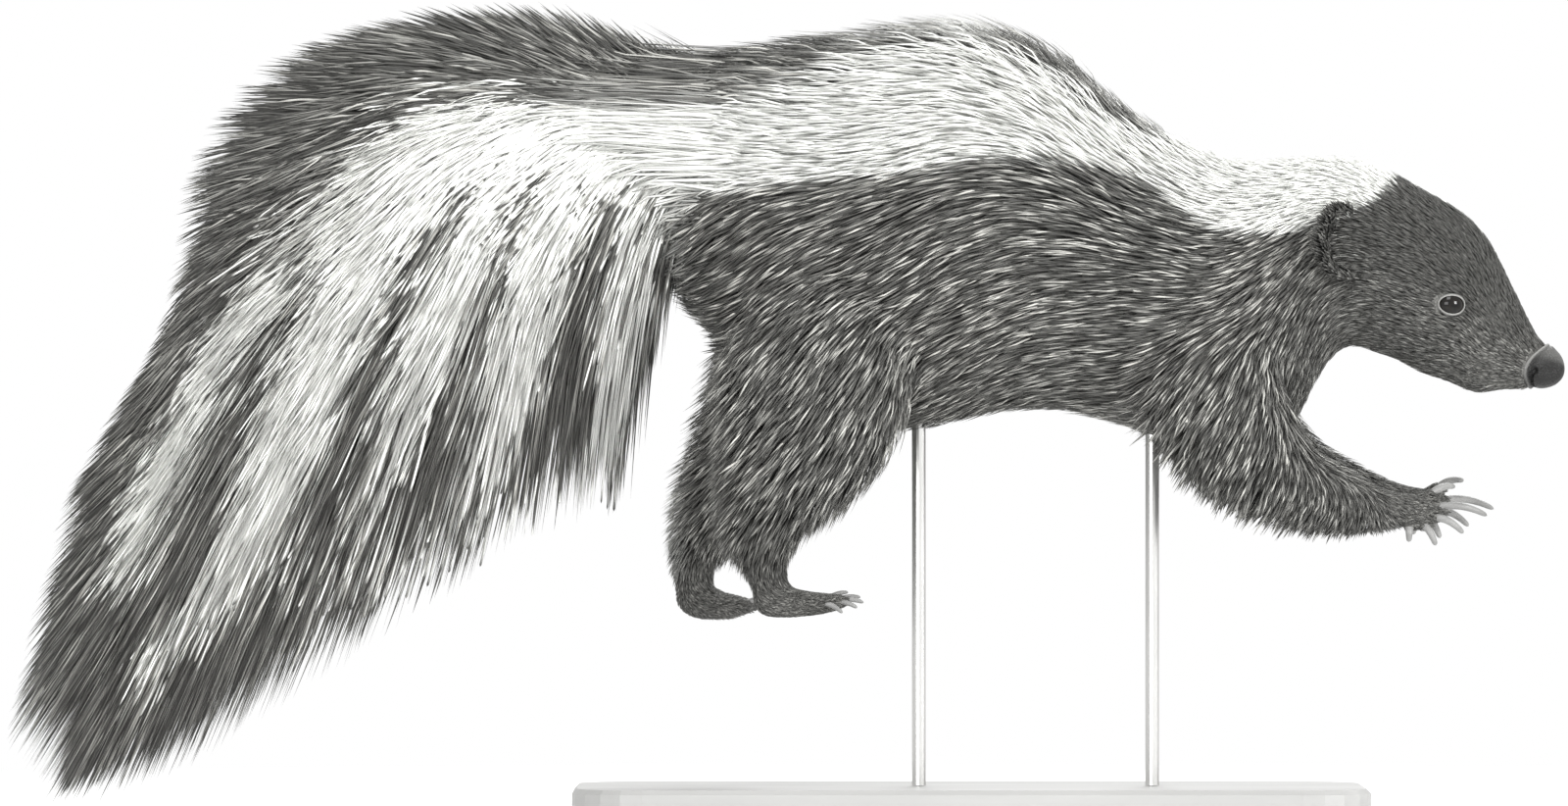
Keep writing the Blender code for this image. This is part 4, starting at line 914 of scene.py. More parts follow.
DARK_STREAKS = (
    ((-0.152, 0.264, 0.003), (-0.1625, 0.227, 0.0066), (-0.169, 0.200, 0.0086), (-0.1737, 0.170, 0.0112),
     (-0.183, 0.140, 0.0140)),
    ((-0.188, 0.268, 0.002), (-0.211, 0.205, 0.0042), (-0.2215, 0.170, 0.0062), (-0.231, 0.147, 0.0090),
     (-0.242, 0.126, 0.013)),
    ((-0.212, 0.266, 0.003), (-0.240, 0.230, 0.004), (-0.264, 0.172, 0.006), (-0.280, 0.116, 0.014)),
    ((-0.305, 0.190, 0.004), (-0.317, 0.150, 0.006), (-0.332, 0.112, 0.010), (-0.348, 0.085, 0.012)),
)
FACE_FROM = 0.186  # x in front of which only the blaze is white
PLUME_FROM = (-0.118, -0.134)  # x over which the markings of the body give way to the tail's
STRAY_WHITE = 0.30  # how much white there is between the tail's streaks
BLAZE = (0.190, 0.226, 0.0013)  # the white line on the forehead: from x to x, and its half width


def streaks(x, z, lines, soft=0.003):
    """1 inside any of the tapered lines of the side view, 0 outside, with a soft edge."""
    best = np.zeros(len(x))
    points = np.stack([x, z], 1)
    for line in lines:
        line = np.array(line)
        gap, where = nearest_on_line(points, line[:, :2])
        half = np.interp(where * (len(line) - 1), np.arange(len(line)), line[:, 2])
        best = np.maximum(best, 1 - smooth_step(-soft, soft, gap - half))
    return best


def white_at(points, sway=0.0):
    """How white the coat is at each point. sway moves the lines a little, a different way for
    each tuft, so that the edges are feathered."""
    x, y, z = points[:, 0], points[:, 1], points[:, 2]
    flank = np.interp(x, *np.array(FLANK_LINE).T)
    body = smooth_step(-0.0012, 0.0012, z + sway - flank) * (x < FACE_FROM)
    crest_x, crest_y, crest_half, crest_strength = np.array(CREST).T
    off = np.abs(y + np.interp(x, crest_x, crest_y)) - np.interp(x, crest_x, crest_half)
    crest = 1 - smooth_step(-0.001, 0.001, off + sway * 0.6)
    crest *= np.interp(x, crest_x, crest_strength, right=0.0) * (z > 0.29)
    body = body * (1 - crest)
    top = smooth_step(-0.004, 0.004, z + sway * 1.5 - np.interp(x, *np.array(TOP_LINE).T)) * (x < -0.035)
    body *= 1 - top
    tail = np.maximum(streaks(x + sway, z, WHITE_STREAKS), STRAY_WHITE * (z > 0.10))
    tail *= 1 - streaks(x + sway, z, DARK_STREAKS) * 0.92
    tail *= 1 - top
    part = smooth_step(*PLUME_FROM, x)
    blaze = (x > BLAZE[0]) & (x < BLAZE[1]) & (np.abs(y + sway * 0.3) < BLAZE[2]) & (z > 0.235)
    return np.maximum(body * (1 - part) + tail * part, blaze * 0.9)


# Tufts

def slow_noise(points, scale, seed):
    """Smooth noise of about -1 to 1 from a few sine waves."""
    draw = np.random.default_rng(seed)
    total = np.zeros(len(points))
    for _ in range(5):
        way = unit(draw.normal(size=3))
        total += np.sin(points @ way * (2 * math.pi / scale) * draw.uniform(0.6, 1.6) + draw.uniform(0, 7))
    return total / 2.6


def nearest_faces(tree, points):
    places, faces = np.empty((len(points), 3)), np.empty(len(points), int)
    for number, point in enumerate(points):
        place, _, face, _ = tree.find_nearest(Vector(point))
        places[number] = place
        faces[number] = face
    return places, faces


def sample_faces(points, faces, density):
    """Random places on the triangles, spread as the density at their corners says."""
    first, second, third = points[faces].transpose(1, 0, 2)
    area = np.linalg.norm(np.cross(second - first, third - first), axis=1) / 2
    weight = area * density[faces].mean(1)
    count = int(weight.sum())
    chosen = DRAW.choice(len(faces), size=count, p=weight / weight.sum())
    shares = np.stack([DRAW.random(count), DRAW.random(count)], 1)
    shares = np.where(shares.sum(1, keepdims=True) > 1, 1 - shares, shares)
    return chosen, np.concatenate([1 - shares.sum(1, keepdims=True), shares], 1)


def tuft_length(depth):
    start = LENGTH_START * (0.50 + 0.50 * smooth_step(0.0010, 0.0022, depth))
    return start + LENGTH_PER_DEPTH * depth


def body_coat(skin, surface, combed, eyes, lips):
    """Tufts all over the body but the tail: their paths over the skin, and what each one is like."""
    tree, faces = surface
    depth, kind = combed["depth"], combed["kind"]
    length = tuft_length(depth)
    layers = LAYERS * (1 + THICK_LAYERS * np.clip(depth - THICK_FROM, 0, 1))
    density = layers * 2 / ((WIDTH_START + WIDTH_PER_LENGTH * length) * length)
    density[(kind == TAIL_FORM) | bare(combed["points"], eyes, lips)] = 0
    chosen, shares = sample_faces(combed["points"], faces, density)
    place, normal, way, loose, off, depth = (
        np.einsum("nk...,nk->n...", combed[name][faces[chosen]], shares)
        for name in ("points", "normals", "lie", "loose", "off", "depth")
    )
    normal, way, loose = unit(normal), unit(way), unit(loose)
    on_ear = (kind[faces[chosen]] == EAR_FORM).all(1)
    count = len(place)
    swing = SWING * slow_noise(place, 0.020, 3) + DRAW.normal(0, STRAY, count)
    way = unit(way + np.cross(normal, way) * swing[:, None])
    loose = unit(loose + np.cross(normal, way) * swing[:, None])
    length = tuft_length(depth) * DRAW.uniform(*LENGTHS, count)
    width = (WIDTH_START + WIDTH_PER_LENGTH * length) * DRAW.uniform(*WIDTHS, count)
    lift = DRAW.uniform(*LIFTS, count) * (1 + 0.12 * slow_noise(place, 0.012, 5))
    rise = depth * SKIN_SHARE * lift
    free = np.where(on_ear, 1.0, np.clip(FREE + 1.3 * off, 0, 0.85) * DRAW.uniform(0.6, 1.1, count))
    path = np.empty((count, len(STEPS), 3))
    path[:, 0] = place + normal * (rise * RISES[0])[:, None]
    ground = place
    for step in range(1, len(STEPS)):
        ahead = ground + way * (length * (STEPS[step] - STEPS[step - 1]))[:, None]
        ground, hit = nearest_faces(tree, ahead)
        above = unit(combed["normals"][faces[hit]].mean(1))
        way = unit(way * 0.6 + combed["lie"][faces[hit]].mean(1) * 0.4)
        way = unit(way - above * np.sum(way * above, 1, keepdims=True))
        held = ground + above * (rise * RISES[step])[:, None]
        straight = place + loose * (length * STEPS[step])[:, None]
        straight = straight + normal * (rise * RISES[step] * 0.6)[:, None]
        path[:, step] = held + (straight - held) * free[:, None]
    sway = DRAW.normal(0, 0.0011, count) * (1 + 20 * depth)
    white = white_at(path[:, 2], sway) * ~on_ear
    fine = smooth_step(0.003, 0.009, depth)
    calm = smooth_step(-0.004, 0.008, place[:, 2] - np.interp(place[:, 0], *CALM_LINE)) * (1 - fine)
    calm = calm * smooth_step(*CALM_FADE, place[:, 0])
    tone = DRAW.random(count) * (0.74 + 0.26 * fine) * (1 - 0.32 * calm)
    coat = {"path": path[:, KEPT_STEPS], "normal": normal, "width": width, "depth": depth, "tone": tone,
            "white": np.repeat(white[:, None], len(KEPT_STEPS), 1), "uv": root_uv(skin, chosen, shares)}
    return pick(coat, clear_of_mouth(path, lips))


def clear_of_mouth(path, lips):
    """Whether each tuft leaves the line of the mouth bare."""
    clear = np.ones(len(path), bool)
    near = path[:, 0, 0] > 0.19
    for line in lips:
        for step in range(1, path.shape[1]):
            gap, _ = nearest_on_line(path[near, step], line)
            clear[near] &= gap > 0.0012
    return clear


def rump_coat(skin, tree):
    """Long hair that leaves the rump and runs over the root of the tail into its plume."""
    count = RUMP_HAIRS
    start = DRAW.uniform(0.1, 2.2, count)
    angle = DRAW.uniform(-0.30, math.pi + 0.30, count)
    low = smooth_step(0.65, -0.30, np.minimum(angle, math.pi - angle))
    row = DRAW.uniform(-0.3, 1.5, count) * (1 - 0.8 * low) - start * 0.2
    high = smooth_step(0.45, 0.95, np.sin(angle))
    out = DRAW.uniform(0.25, 0.60, count) + DRAW.uniform(0.0, 0.34, count) * high
    deep = DRAW.uniform(0.55, 0.95, count) - 0.15 * high
    turned = angle + DRAW.normal(0, 0.14, count) + np.where(angle < math.pi / 2, -0.75, 0.75) * low
    ends = (
        trunk_point(start, angle, deep),
        trunk_point(start - 1.1, angle + DRAW.normal(0, 0.06, count), deep * DRAW.uniform(0.1, 0.6, count)),
        tail_point(row, turned, out * DRAW.uniform(0.45, 0.75, count)),
        tail_point(row, turned, out),
    )
    path = np.empty((count, len(STEPS), 3))
    for number, part in enumerate(STEPS):
        shares = (1 - part) ** 3, 3 * part * (1 - part) ** 2, 3 * part**2 * (1 - part), part**3
        path[:, number] = sum(end * share for end, share in zip(ends, shares))
    normal = unit(path[:, 0] - trunk_point(start, angle, np.ones(count)))
    _, hit = nearest_faces(tree, path[:, 0])
    sway = DRAW.normal(0, 0.0022, count)
    white = np.stack([white_at(path[:, number], sway) for number in range(len(STEPS))], 1)
    return {"path": path, "normal": normal, "width": TAIL_HAIR_WIDTH * DRAW.uniform(0.8, 1.3, count),
            "white": white, "uv": root_uv(skin, hit), "tone": DRAW.random(count)}


def bare(points, eyes, lips):
    """Whether a place on the skin grows no coat: the nose, the eyes and the line of the mouth."""
    none = past_fold(points)[0] > -0.0004
    for middle, look, forth, above in eyes:
        gap = points - middle
        none |= (np.hypot(gap @ forth / EYE_OPEN[0], gap @ above / EYE_OPEN[1]) < 1.30) & (gap @ look > 0)
    for line in lips:
        gap, _ = nearest_on_line(points, line)
        none |= gap < 0.0009
    return none


def root_uv(skin, chosen, shares=1 / 3):
    """Each root's place on the skin's own unwrap."""
    layer = skin.data.uv_layers["OFBake"].uv
    flat = np.empty(len(layer) * 2, np.float32)
    layer.foreach_get("vector", flat)
    loops = np.array([tuple(face.loops) for face in skin.data.loop_triangles])[chosen]
    return np.einsum("nkd,nk->nd", flat.reshape(-1, 2)[loops], np.broadcast_to(shares, loops.shape))


def tail_coat(skin, tree):
    """The plume: long hair that leaves the tail's core all along and round it."""
    count = TAIL_HAIRS
    along = DRAW.uniform(TAIL_FROM, TAIL_TO, count)
    angle = DRAW.uniform(-math.pi, math.pi, count)
    outer = DRAW.random(count) < OUTER_HAIRS
    reach = np.where(outer, DRAW.uniform(*OUTER_REACH, count), DRAW.uniform(*INNER_REACH, count))
    reach *= 1 + (0.45 + 0.50 * np.clip(-np.sin(angle), 0, 1)) * np.minimum(along, 0)
    start = SKIN_TAIL - 0.05
    root = tail_point(along, angle, np.full(count, start))
    swing = DRAW.normal(0, 0.08, count) + 0.10 * slow_noise(root, 0.030, 8)
    drift = DRAW.normal(0, 0.08, count) + 0.12 * slow_noise(root, 0.040, 9)

    def hair_at(part):
        return tail_point(along + drift * part, angle + swing * part, start + (reach - start) * part)

    sway = DRAW.normal(0, 0.0030, count)
    early = DRAW.normal(0, 0.06, count)
    fine = np.stack([white_at(hair_at(np.clip(part + early, 0, 1)), sway)
                     for part in np.linspace(0, 1, FINE_STEPS)], 1)
    at, white = change_steps(fine > DRAW.uniform(0.03, 0.97, count)[:, None])
    path = np.stack([hair_at(part) for part in at.T], 1)
    way = unit(path[:, -1] - path[:, 0])
    beside = tail_point(along + 0.05, angle, reach * 0.6) - tail_point(along - 0.05, angle, reach * 0.6)
    normal = unit(np.cross(beside, way))
    normal *= np.where(normal[:, 1] * np.cos(angle) < 0, -1, 1)[:, None]
    _, hit = nearest_faces(tree, root)
    width = TAIL_HAIR_WIDTH * DRAW.uniform(0.7, 1.25, count)
    return {"path": path, "at": at, "normal": normal, "width": width, "white": white,
            "uv": root_uv(skin, hit), "tone": DRAW.random(count)}


def change_steps(is_white):
    """Five places along each hair, close together where its colour last changes, and its colours
    there."""
    count, last = len(is_white), FINE_STEPS - 1
    change = is_white[:, 1:] != is_white[:, :-1]
    final = last - 1 - np.argmax(change[:, ::-1], 1)
    once = (final + 0.5) / last
    early, late = (change.any(1) & half for half in (once < 0.5, once >= 0.5))
    at = np.tile((0.0, 0.26, 0.52, 0.77, 1.0), (count, 1))
    at[early, 1:4] = np.stack([once - CHANGE_GAP, once + CHANGE_GAP, 0.5 * once + 0.5], 1)[early]
    at[late, 1:4] = np.stack([once * 0.5, once - CHANGE_GAP, once + CHANGE_GAP], 1)[late]
    colours = np.repeat(is_white[np.arange(count), final][:, None], 5, 1)
    colours[early, 2:] = is_white[early, -1:]
    colours[late, 3:] = is_white[late, -1:]
    return at, colours.astype(float)


def tuft_mesh(name, coat):
    """One mesh of solid tufts: each is three-sided, low and wide, and tapers to its tip."""
    path = coat["path"]
    count, steps = path.shape[:2]
    rings = steps - 1
    each = rings * 3 + 1
    places = coat.get("at", np.tile(np.linspace(0, 1, steps), (count, 1)))
    way = unit(np.gradient(path, axis=1))
    side = unit(np.cross(way, coat["normal"][:, None, :]))
    up = np.cross(side, way)
    widths = HAIR_WIDTHS if "at" in coat else TUFT_WIDTHS
    half = coat["width"][:, None] / 2 * np.interp(places[:, :-1], (0.0, 0.3, 0.7, 1.0), widths)
    points = np.empty((count, each, 3), np.float32)
    points[:, 0:-1:3] = path[:, :-1] + side[:, :-1] * half[..., None]
    points[:, 1:-1:3] = path[:, :-1] + up[:, :-1] * (half * FLATNESS)[..., None]
    points[:, 2:-1:3] = path[:, :-1] - side[:, :-1] * half[..., None]
    points[:, -1] = path[:, -1]
    faces = [(2, 1, 0)]
    for here, there in ((0, 1), (1, 2), (2, 0)):
        for base in range(0, each - 4, 3):
            faces.append((base + here, base + there, base + 3 + there))
            faces.append((base + here, base + 3 + there, base + 3 + here))
        faces.append((each - 4 + here, each - 4 + there, each - 1))
    corners = (np.arange(count)[:, None, None] * each + np.array(faces)).reshape(-1)
    data = bpy.data.meshes.new(name)
    data.vertices.add(count * each)
    data.vertices.foreach_set("co", points.ravel())
    data.loops.add(len(corners))
    data.loops.foreach_set("vertex_index", corners.astype(np.int32))
    data.polygons.add(len(corners) // 3)
    data.polygons.foreach_set("loop_start", np.arange(0, len(corners), 3, dtype=np.int32))
    data.update(calc_edges=True)
    data.polygons.foreach_set("use_smooth", np.ones(len(corners) // 3, bool))

    def round_each(values):
        return np.concatenate([np.repeat(values[:, :-1], 3, axis=1), values[:, -1:]], 1)

    along = round_each(places)
    around = np.broadcast_to(np.append(np.tile((0.0, 0.5, 1.0), rings), 0.5), along.shape)
    strand = np.stack([around, along], 2)
    bake = coat["uv"][:, None, :] + (strand - 0.5) * BAKE_PATCH
    set_attribute(data, "white", round_each(coat["white"]).ravel())
    set_attribute(data, "along", along.ravel())
    set_attribute(data, "tone", np.repeat(coat["tone"], each))
    set_uv(data, "OFBake", bake.reshape(-1, 2)[corners])
    set_uv(data, "Strand", strand.reshape(-1, 2)[corners])
    return object_from(name, data)


def set_attribute(data, name, values):
    layer = data.attributes.new(name, "FLOAT", "POINT")
    layer.data.foreach_set("value", np.asarray(values, np.float32))


def set_uv(data, name, values):
    layer = data.uv_layers.new(name=name)
    layer.uv.foreach_set("vector", np.asarray(values, np.float32).ravel())


def pick(coat, chosen):
    return {key: value[chosen] for key, value in coat.items()}


def coat_pieces(coat, groups):
    """Makes the pieces of a coat. groups holds names, and which tufts each one has."""
    triangles = coat["path"].shape[1] * 6 - 8
    for name, chosen in groups:
        part = pick(coat, chosen)
        count = len(part["path"])
        pieces = max(1, math.ceil(count * triangles / MOST_TRIANGLES))
        for number, share in enumerate(np.array_split(np.arange(count), pieces)):
            yield tuft_mesh(name if pieces == 1 else "%s_%d" % (name, number + 1), pick(part, share))


# Materials

def node(tree, kind, inputs=(), **settings):
    """Adds a node with its settings. inputs gives sockets a value, or the output that feeds them."""
    made = tree.nodes.new(kind)
    for name, value in settings.items():
        setattr(made, name, value)
    for name, value in dict(inputs).items():
        if isinstance(value, bpy.types.NodeSocket):
            tree.links.new(value, made.inputs[name])
        else:
            made.inputs[name].default_value = value
    return made


def new_material(name, roughness, specular=0.5, metallic=0.0):
    made = bpy.data.materials.new(name)
    made.use_nodes = True
    shader = made.node_tree.nodes["Principled BSDF"]
    shader.inputs["Roughness"].default_value = roughness
    shader.inputs["Specular IOR Level"].default_value = specular
    shader.inputs["Metallic"].default_value = metallic
    return made, made.node_tree, shader


def cover(tree, shader, colour, height=None, depth=0.0, strength=0.5, invert=False):
    """Gives a shader its colour, and a relief of this depth if there is one."""
    tree.links.new(colour, shader.inputs["Base Color"])
    if height is not None:
        inputs = {"Strength": strength, "Distance": depth, "Height": height}
        bump = node(tree, "ShaderNodeBump", inputs, invert=invert)
        tree.links.new(bump.outputs["Normal"], shader.inputs["Normal"])


def ramp(tree, stops, factor):
    made = node(tree, "ShaderNodeValToRGB", {"Fac": factor})
    while len(made.color_ramp.elements) < len(stops):
        made.color_ramp.elements.new(0.5)
    for element, (place, colour) in zip(made.color_ramp.elements, stops):
        element.position = place
        element.color = (*colour, 1.0)
    return made.outputs["Color"]


def attribute(tree, name):
    return node(tree, "ShaderNodeAttribute", attribute_name=name).outputs["Fac"]


def mix(tree, blend, factor, first, second):
    inputs = {0: factor, 6: first, 7: second}
    return node(tree, "ShaderNodeMix", inputs, data_type="RGBA", blend_type=blend).outputs[2]


def calculate(tree, operation, *values):
    return node(tree, "ShaderNodeMath", enumerate(values), operation=operation).outputs[0]


def object_place(tree):
    return node(tree, "ShaderNodeTexCoord").outputs["Object"]


def noise_at(tree, place, scale, detail=2.0):
    inputs = {"Vector": place, "Scale": scale, "Detail": detail}
    return node(tree, "ShaderNodeTexNoise", inputs).outputs["Fac"]


def greys(*pairs, tint=(1.0, 0.997, 0.975)):
    """Stops of a colour ramp: place and brightness."""
    return [(place, tuple(value * part for part in tint)) for place, value in pairs]


def new_sockets(tree, way, *sockets):
    """Adds the inputs or outputs of a node group: name, type and value."""
    for name, kind, *value in sockets:
        socket = tree.interface.new_socket(name, in_out=way, socket_type="NodeSocket" + kind)
        if value:
            socket.default_value = value[0]


def coat_group():
    """The coat's colours: dark or white hair, darker at its root, a few hairs lighter than the
    rest, and fine strands along each tuft."""
    group = bpy.data.node_groups.new("coat_colours", "ShaderNodeTree")
    floats = [(name, "Float") for name in ("White", "Along", "Tone")]
    new_sockets(group, "INPUT", *floats, ("Strand", "Vector"))
    new_sockets(group, "OUTPUT", ("Color", "Color"), ("Height", "Float"))
    enter = node(group, "NodeGroupInput").outputs
    dark = greys((0.0, 0.075), (0.40, 0.104), (0.63, 0.20), (0.82, 0.39), (1.0, 0.70))
    pale = greys((0.0, 0.99), (0.55, 0.96), (0.84, 0.85), (1.0, 0.58), tint=(0.982, 0.995, 1.0))
    dark, pale = (ramp(group, stops, enter["Tone"]) for stops in (dark, pale))
    dark_root = ramp(group, greys((0.0, 0.50), (0.35, 0.88), (0.75, 1.0), (1.0, 1.12)), enter["Along"])
    pale_root = ramp(group, greys((0.0, 0.94), (0.35, 0.99), (1.0, 1.0)), enter["Along"])
    dark = mix(group, "MULTIPLY", 1.0, dark, dark_root)
    pale = mix(group, "MULTIPLY", 1.0, pale, pale_root)
    colour = mix(group, "MIX", enter["White"], dark, pale)
    noise = noise_at(group, enter["Strand"], 1.0, 1.0)
    strong = ramp(group, greys((0.30, 0.70), (0.70, 1.15)), noise)
    faint = ramp(group, greys((0.30, 0.82), (0.70, 1.04)), noise)
    colour = mix(group, "MULTIPLY", 1.0, colour, mix(group, "MIX", enter["White"], strong, faint))
    node(group, "NodeGroupOutput", {"Color": colour, "Height": noise})
    return group


def coat_material(group):
    """Strands that run along each tuft's own map, different from tuft to tuft."""
    made, tree, shader = new_material("coat", 0.55, 0.35)
    tone = attribute(tree, "tone")
    apart = node(tree, "ShaderNodeCombineXYZ", {"Z": calculate(tree, "MULTIPLY", tone, 97.0)})
    strand = node(tree, "ShaderNodeUVMap", uv_map="Strand")
    inputs = {0: strand.outputs["UV"], 1: (7.0, 1.6, 0.0), 2: apart.outputs[0]}
    place = node(tree, "ShaderNodeVectorMath", inputs, operation="MULTIPLY_ADD")
    inputs = {"White": attribute(tree, "white"), "Along": attribute(tree, "along"), "Tone": tone,
              "Strand": place.outputs[0]}
    use = node(tree, "ShaderNodeGroup", inputs, node_tree=group)
    cover(tree, shader, use.outputs["Color"], use.outputs["Height"], 0.0002)
    return made


def skin_material(group):
    made, tree, shader = new_material("skin", 0.7, 0.3)
    grain = noise_at(tree, object_place(tree), 900.0)
    inputs = {0: object_place(tree), "Scale": 700.0}
    place = node(tree, "ShaderNodeVectorMath", inputs, operation="SCALE")
    inputs = {"White": attribute(tree, "white"), "Along": 0.3, "Tone": grain, "Strand": place.outputs[0]}
    use = node(tree, "ShaderNodeGroup", inputs, node_tree=group)
    cover(tree, shader, use.outputs["Color"], grain, 0.0004, 0.6)
    return made


def plain_material(name, stops, scale, roughness, depth, specular=0.5, stretch=(1, 1, 1), metallic=0.0):
    """A finish whose colour and relief vary with fine noise over the piece."""
    made, tree, shader = new_material(name, roughness, specular, metallic)
    place = node(tree, "ShaderNodeMapping", {"Vector": object_place(tree), "Scale": stretch})
    noise = noise_at(tree, place.outputs["Vector"], scale, 4.0)
    cover(tree, shader, ramp(tree, stops, noise), noise, depth)
    return made


def eye_material():
    """Black glass with faint browner patches."""
    made, tree, shader = new_material("eye", 0.05, 0.30)
    noise = noise_at(tree, object_place(tree), 500.0)
    cover(tree, shader, ramp(tree, ((0.3, (0.004, 0.004, 0.004)), (0.7, (0.010, 0.008, 0.006))), noise))
    return made


def bare_material(name, stops, scale, roughness, depth):
    """Moist bare skin, pale where its rim attribute says so, with fine pebbles. On the nose that attribute
    also holds painted light on its top and painted shade below it and in the nostrils.
    """
    made, tree, shader = new_material(name, roughness, 0.28)
    edge = ramp(tree, stops, attribute(tree, "rim"))
    pebbles = node(tree, "ShaderNodeTexVoronoi", {"Vector": object_place(tree), "Scale": scale})
    pebbles = pebbles.outputs["Distance"]
    shade = ramp(tree, greys((0.0, 1.1), (0.8, 0.75)), pebbles)
    cover(tree, shader, mix(tree, "MULTIPLY", 1.0, edge, shade), pebbles, depth, invert=True)
    return made


def all_materials():
    group = coat_group()
    return {
        "coat": coat_material(group),
        "skin": skin_material(group),
        "eye": eye_material(),
        "horn": plain_material(
            "claw_horn", greys((0.3, 0.18), (0.7, 0.28)), 260.0, 0.45, 0.0001, 0.35, (0.25, 1, 1)),
        "nose": bare_material(
            "nose_skin", greys((0.0, 0.006), (0.2, 0.026), (0.5, 0.12), (1.0, 0.30)), 1600.0, 0.34, 0.0006),
        "lids": bare_material(
            "lid_skin", greys((0.0, 0.055), (0.5, 0.12), (1.0, 0.34)), 1500.0, 0.5, 0.0002),
        "board": plain_material(
            "stand_board", greys((0.3, 0.33), (0.7, 0.40)), 60.0, 0.45, 0.0002, 0.5, (0.15, 1, 1)),
        "steel": plain_material(
            "stand_steel", greys((0.3, 0.55), (0.7, 0.66)), 400.0, 0.3, 0.00005, 0.5, (1, 1, 0.05), 1.0),
    }


# Claws

def claw_tree():
    """Geometry nodes that turn lines into tapered, solid horns with round ends."""
    tree = bpy.data.node_groups.new("horns_on_lines", "GeometryNodeTree")
    sizes = ("Radius", "Float", FORE_CLAW_RADIUS), ("Tip", "Float", 0.58), ("Taper", "Float", 2.0)
    new_sockets(tree, "INPUT", ("Geometry", "Geometry"), *sizes, ("Sides", "Int", 14), ("Finish", "Material"))
    new_sockets(tree, "OUTPUT", ("Geometry", "Geometry"))
    enter = node(tree, "NodeGroupInput").outputs
    curve = node(tree, "GeometryNodeMeshToCurve", {"Mesh": enter["Geometry"]})
    along = node(tree, "GeometryNodeSplineParameter").outputs["Factor"]
    inputs = {"Value": calculate(tree, "POWER", along, enter["Taper"]), "To Min": 1.0, "To Max": enter["Tip"]}
    width = node(tree, "ShaderNodeMapRange", inputs).outputs["Result"]
    end = node(tree, "ShaderNodeMapRange", {"Value": along, "From Min": 0.86}).outputs["Result"]
    radius = calculate(tree, "SUBTRACT", 1.0, calculate(tree, "MULTIPLY", end, end))
    radius = calculate(tree, "MAXIMUM", calculate(tree, "SQRT", radius), 0.05)
    radius = calculate(tree, "MULTIPLY", calculate(tree, "MULTIPLY", radius, width), enter["Radius"])
    inputs = {"Radius": 1.0, "Resolution": enter["Sides"]}
    profile = node(tree, "GeometryNodeCurvePrimitiveCircle", inputs)
    inputs = {"Curve": curve.outputs["Curve"], "Profile Curve": profile.outputs["Curve"], "Scale": radius,
              "Fill Caps": True}
    solid = node(tree, "GeometryNodeCurveToMesh", inputs)
    real = node(tree, "GeometryNodeRealizeInstances", {"Geometry": solid.outputs["Mesh"]})
    inputs = {"Geometry": real.outputs["Geometry"], "Material": enter["Finish"]}
    paint = node(tree, "GeometryNodeSetMaterial", inputs)
    node(tree, "NodeGroupOutput", {"Geometry": paint.outputs["Geometry"]})
    return tree


def along_lines(name, lines, tree, **inputs):
    """A piece made by the tree from lines of points. inputs gives its named inputs a value."""
    edges, start = [], 0
    for line in lines:
        edges.extend((start + step, start + step + 1) for step in range(len(line) - 1))
        start += len(line)
    data = bpy.data.meshes.new(name)
    data.from_pydata([tuple(point) for point in np.concatenate(lines)], edges, [])
    made = object_from(name, data)
    modifier = made.modifiers.new("along lines", "NODES")
    modifier.node_group = tree
    for item in tree.interface.items_tree:
        if item.in_out == "INPUT" and item.socket_type != "NodeSocketGeometry":
            modifier[item.identifier] = inputs.get(item.name, item.default_value)
    settle(made)
    return smooth(made)


def fore_claws(name, side):
    forward, outward, back = paw_frame(side)
    middle = palm_middle(name, side)
    for root, tip, curl in FORE_CLAWS:
        root, tip = (middle + forward * at[0] + outward * at[1] for at in (root, tip))
        start = root - unit(root - middle) * 0.001
        yield start, (start + tip) / 2 + back * curl * 0.6, tip - back * curl


def hind_claws(name, side):
    upward = foot_frame(name, side)[3]
    for root, way, reach, splay in hind_toes(name, side):
        start = root + way * (reach - 0.0044)
        yield [start + way * step + upward * (lift - splay * HIND_CLAW_FAN * (0.15 + step / 0.0095))
               for step, lift in HIND_CLAW]


# Stage

def glint_place(frame_of_eye):
    """Where a light has to be for the camera to see its glint high on the front of this eye."""
    middle, look, forth, above = frame_of_eye
    facing = unit(look + forth * 0.16 + above * 0.15)
    return middle + (ACROSS - 2 * (facing @ ACROSS) * facing) * GLINT_AWAY


def white_room():
    """White surroundings, a little darker as a light than as a background."""
    world = bpy.data.worlds.new("white room")
    world.use_nodes = True
    tree = world.node_tree
    seen = node(tree, "ShaderNodeLightPath").outputs["Is Camera Ray"]
    strength = node(tree, "ShaderNodeMapRange", {"To Min": ROOM_LIGHT, "Value": seen})
    tree.links.new(strength.outputs["Result"], tree.nodes["Background"].inputs["Strength"])
    tree.nodes["Background"].inputs["Color"].default_value = (1, 1, 1, 1)
    bpy.context.scene.world = world
    bpy.context.scene.view_settings.view_transform = "Standard"


def white_floor():
    """A round white floor that fades into the white room."""
    mesh = bmesh.new()
    bmesh.ops.create_circle(mesh, cap_ends=True, segments=96, radius=12.0)
    floor = object_of("floor", mesh)
    made, tree, shader = new_material("floor", 0.9, 0.1)
    shader.inputs["Base Color"].default_value = (0.93, 0.93, 0.93, 1)
    glow = node(tree, "ShaderNodeEmission", {"Color": (1, 1, 1, 1)})
    length = node(tree, "ShaderNodeVectorMath", {0: object_place(tree)}, operation="LENGTH")
    inputs = {"From Min": FLOOR_FADE[0], "From Max": FLOOR_FADE[1], "Value": length.outputs["Value"]}
    fade = node(tree, "ShaderNodeMapRange", inputs, interpolation_type="SMOOTHSTEP")
    inputs = {0: fade.outputs["Result"], 1: shader.outputs[0], 2: glow.outputs[0]}
    both = node(tree, "ShaderNodeMixShader", inputs)
    tree.links.new(both.outputs[0], tree.nodes["Material Output"].inputs["Surface"])
    floor.data.materials.append(made)


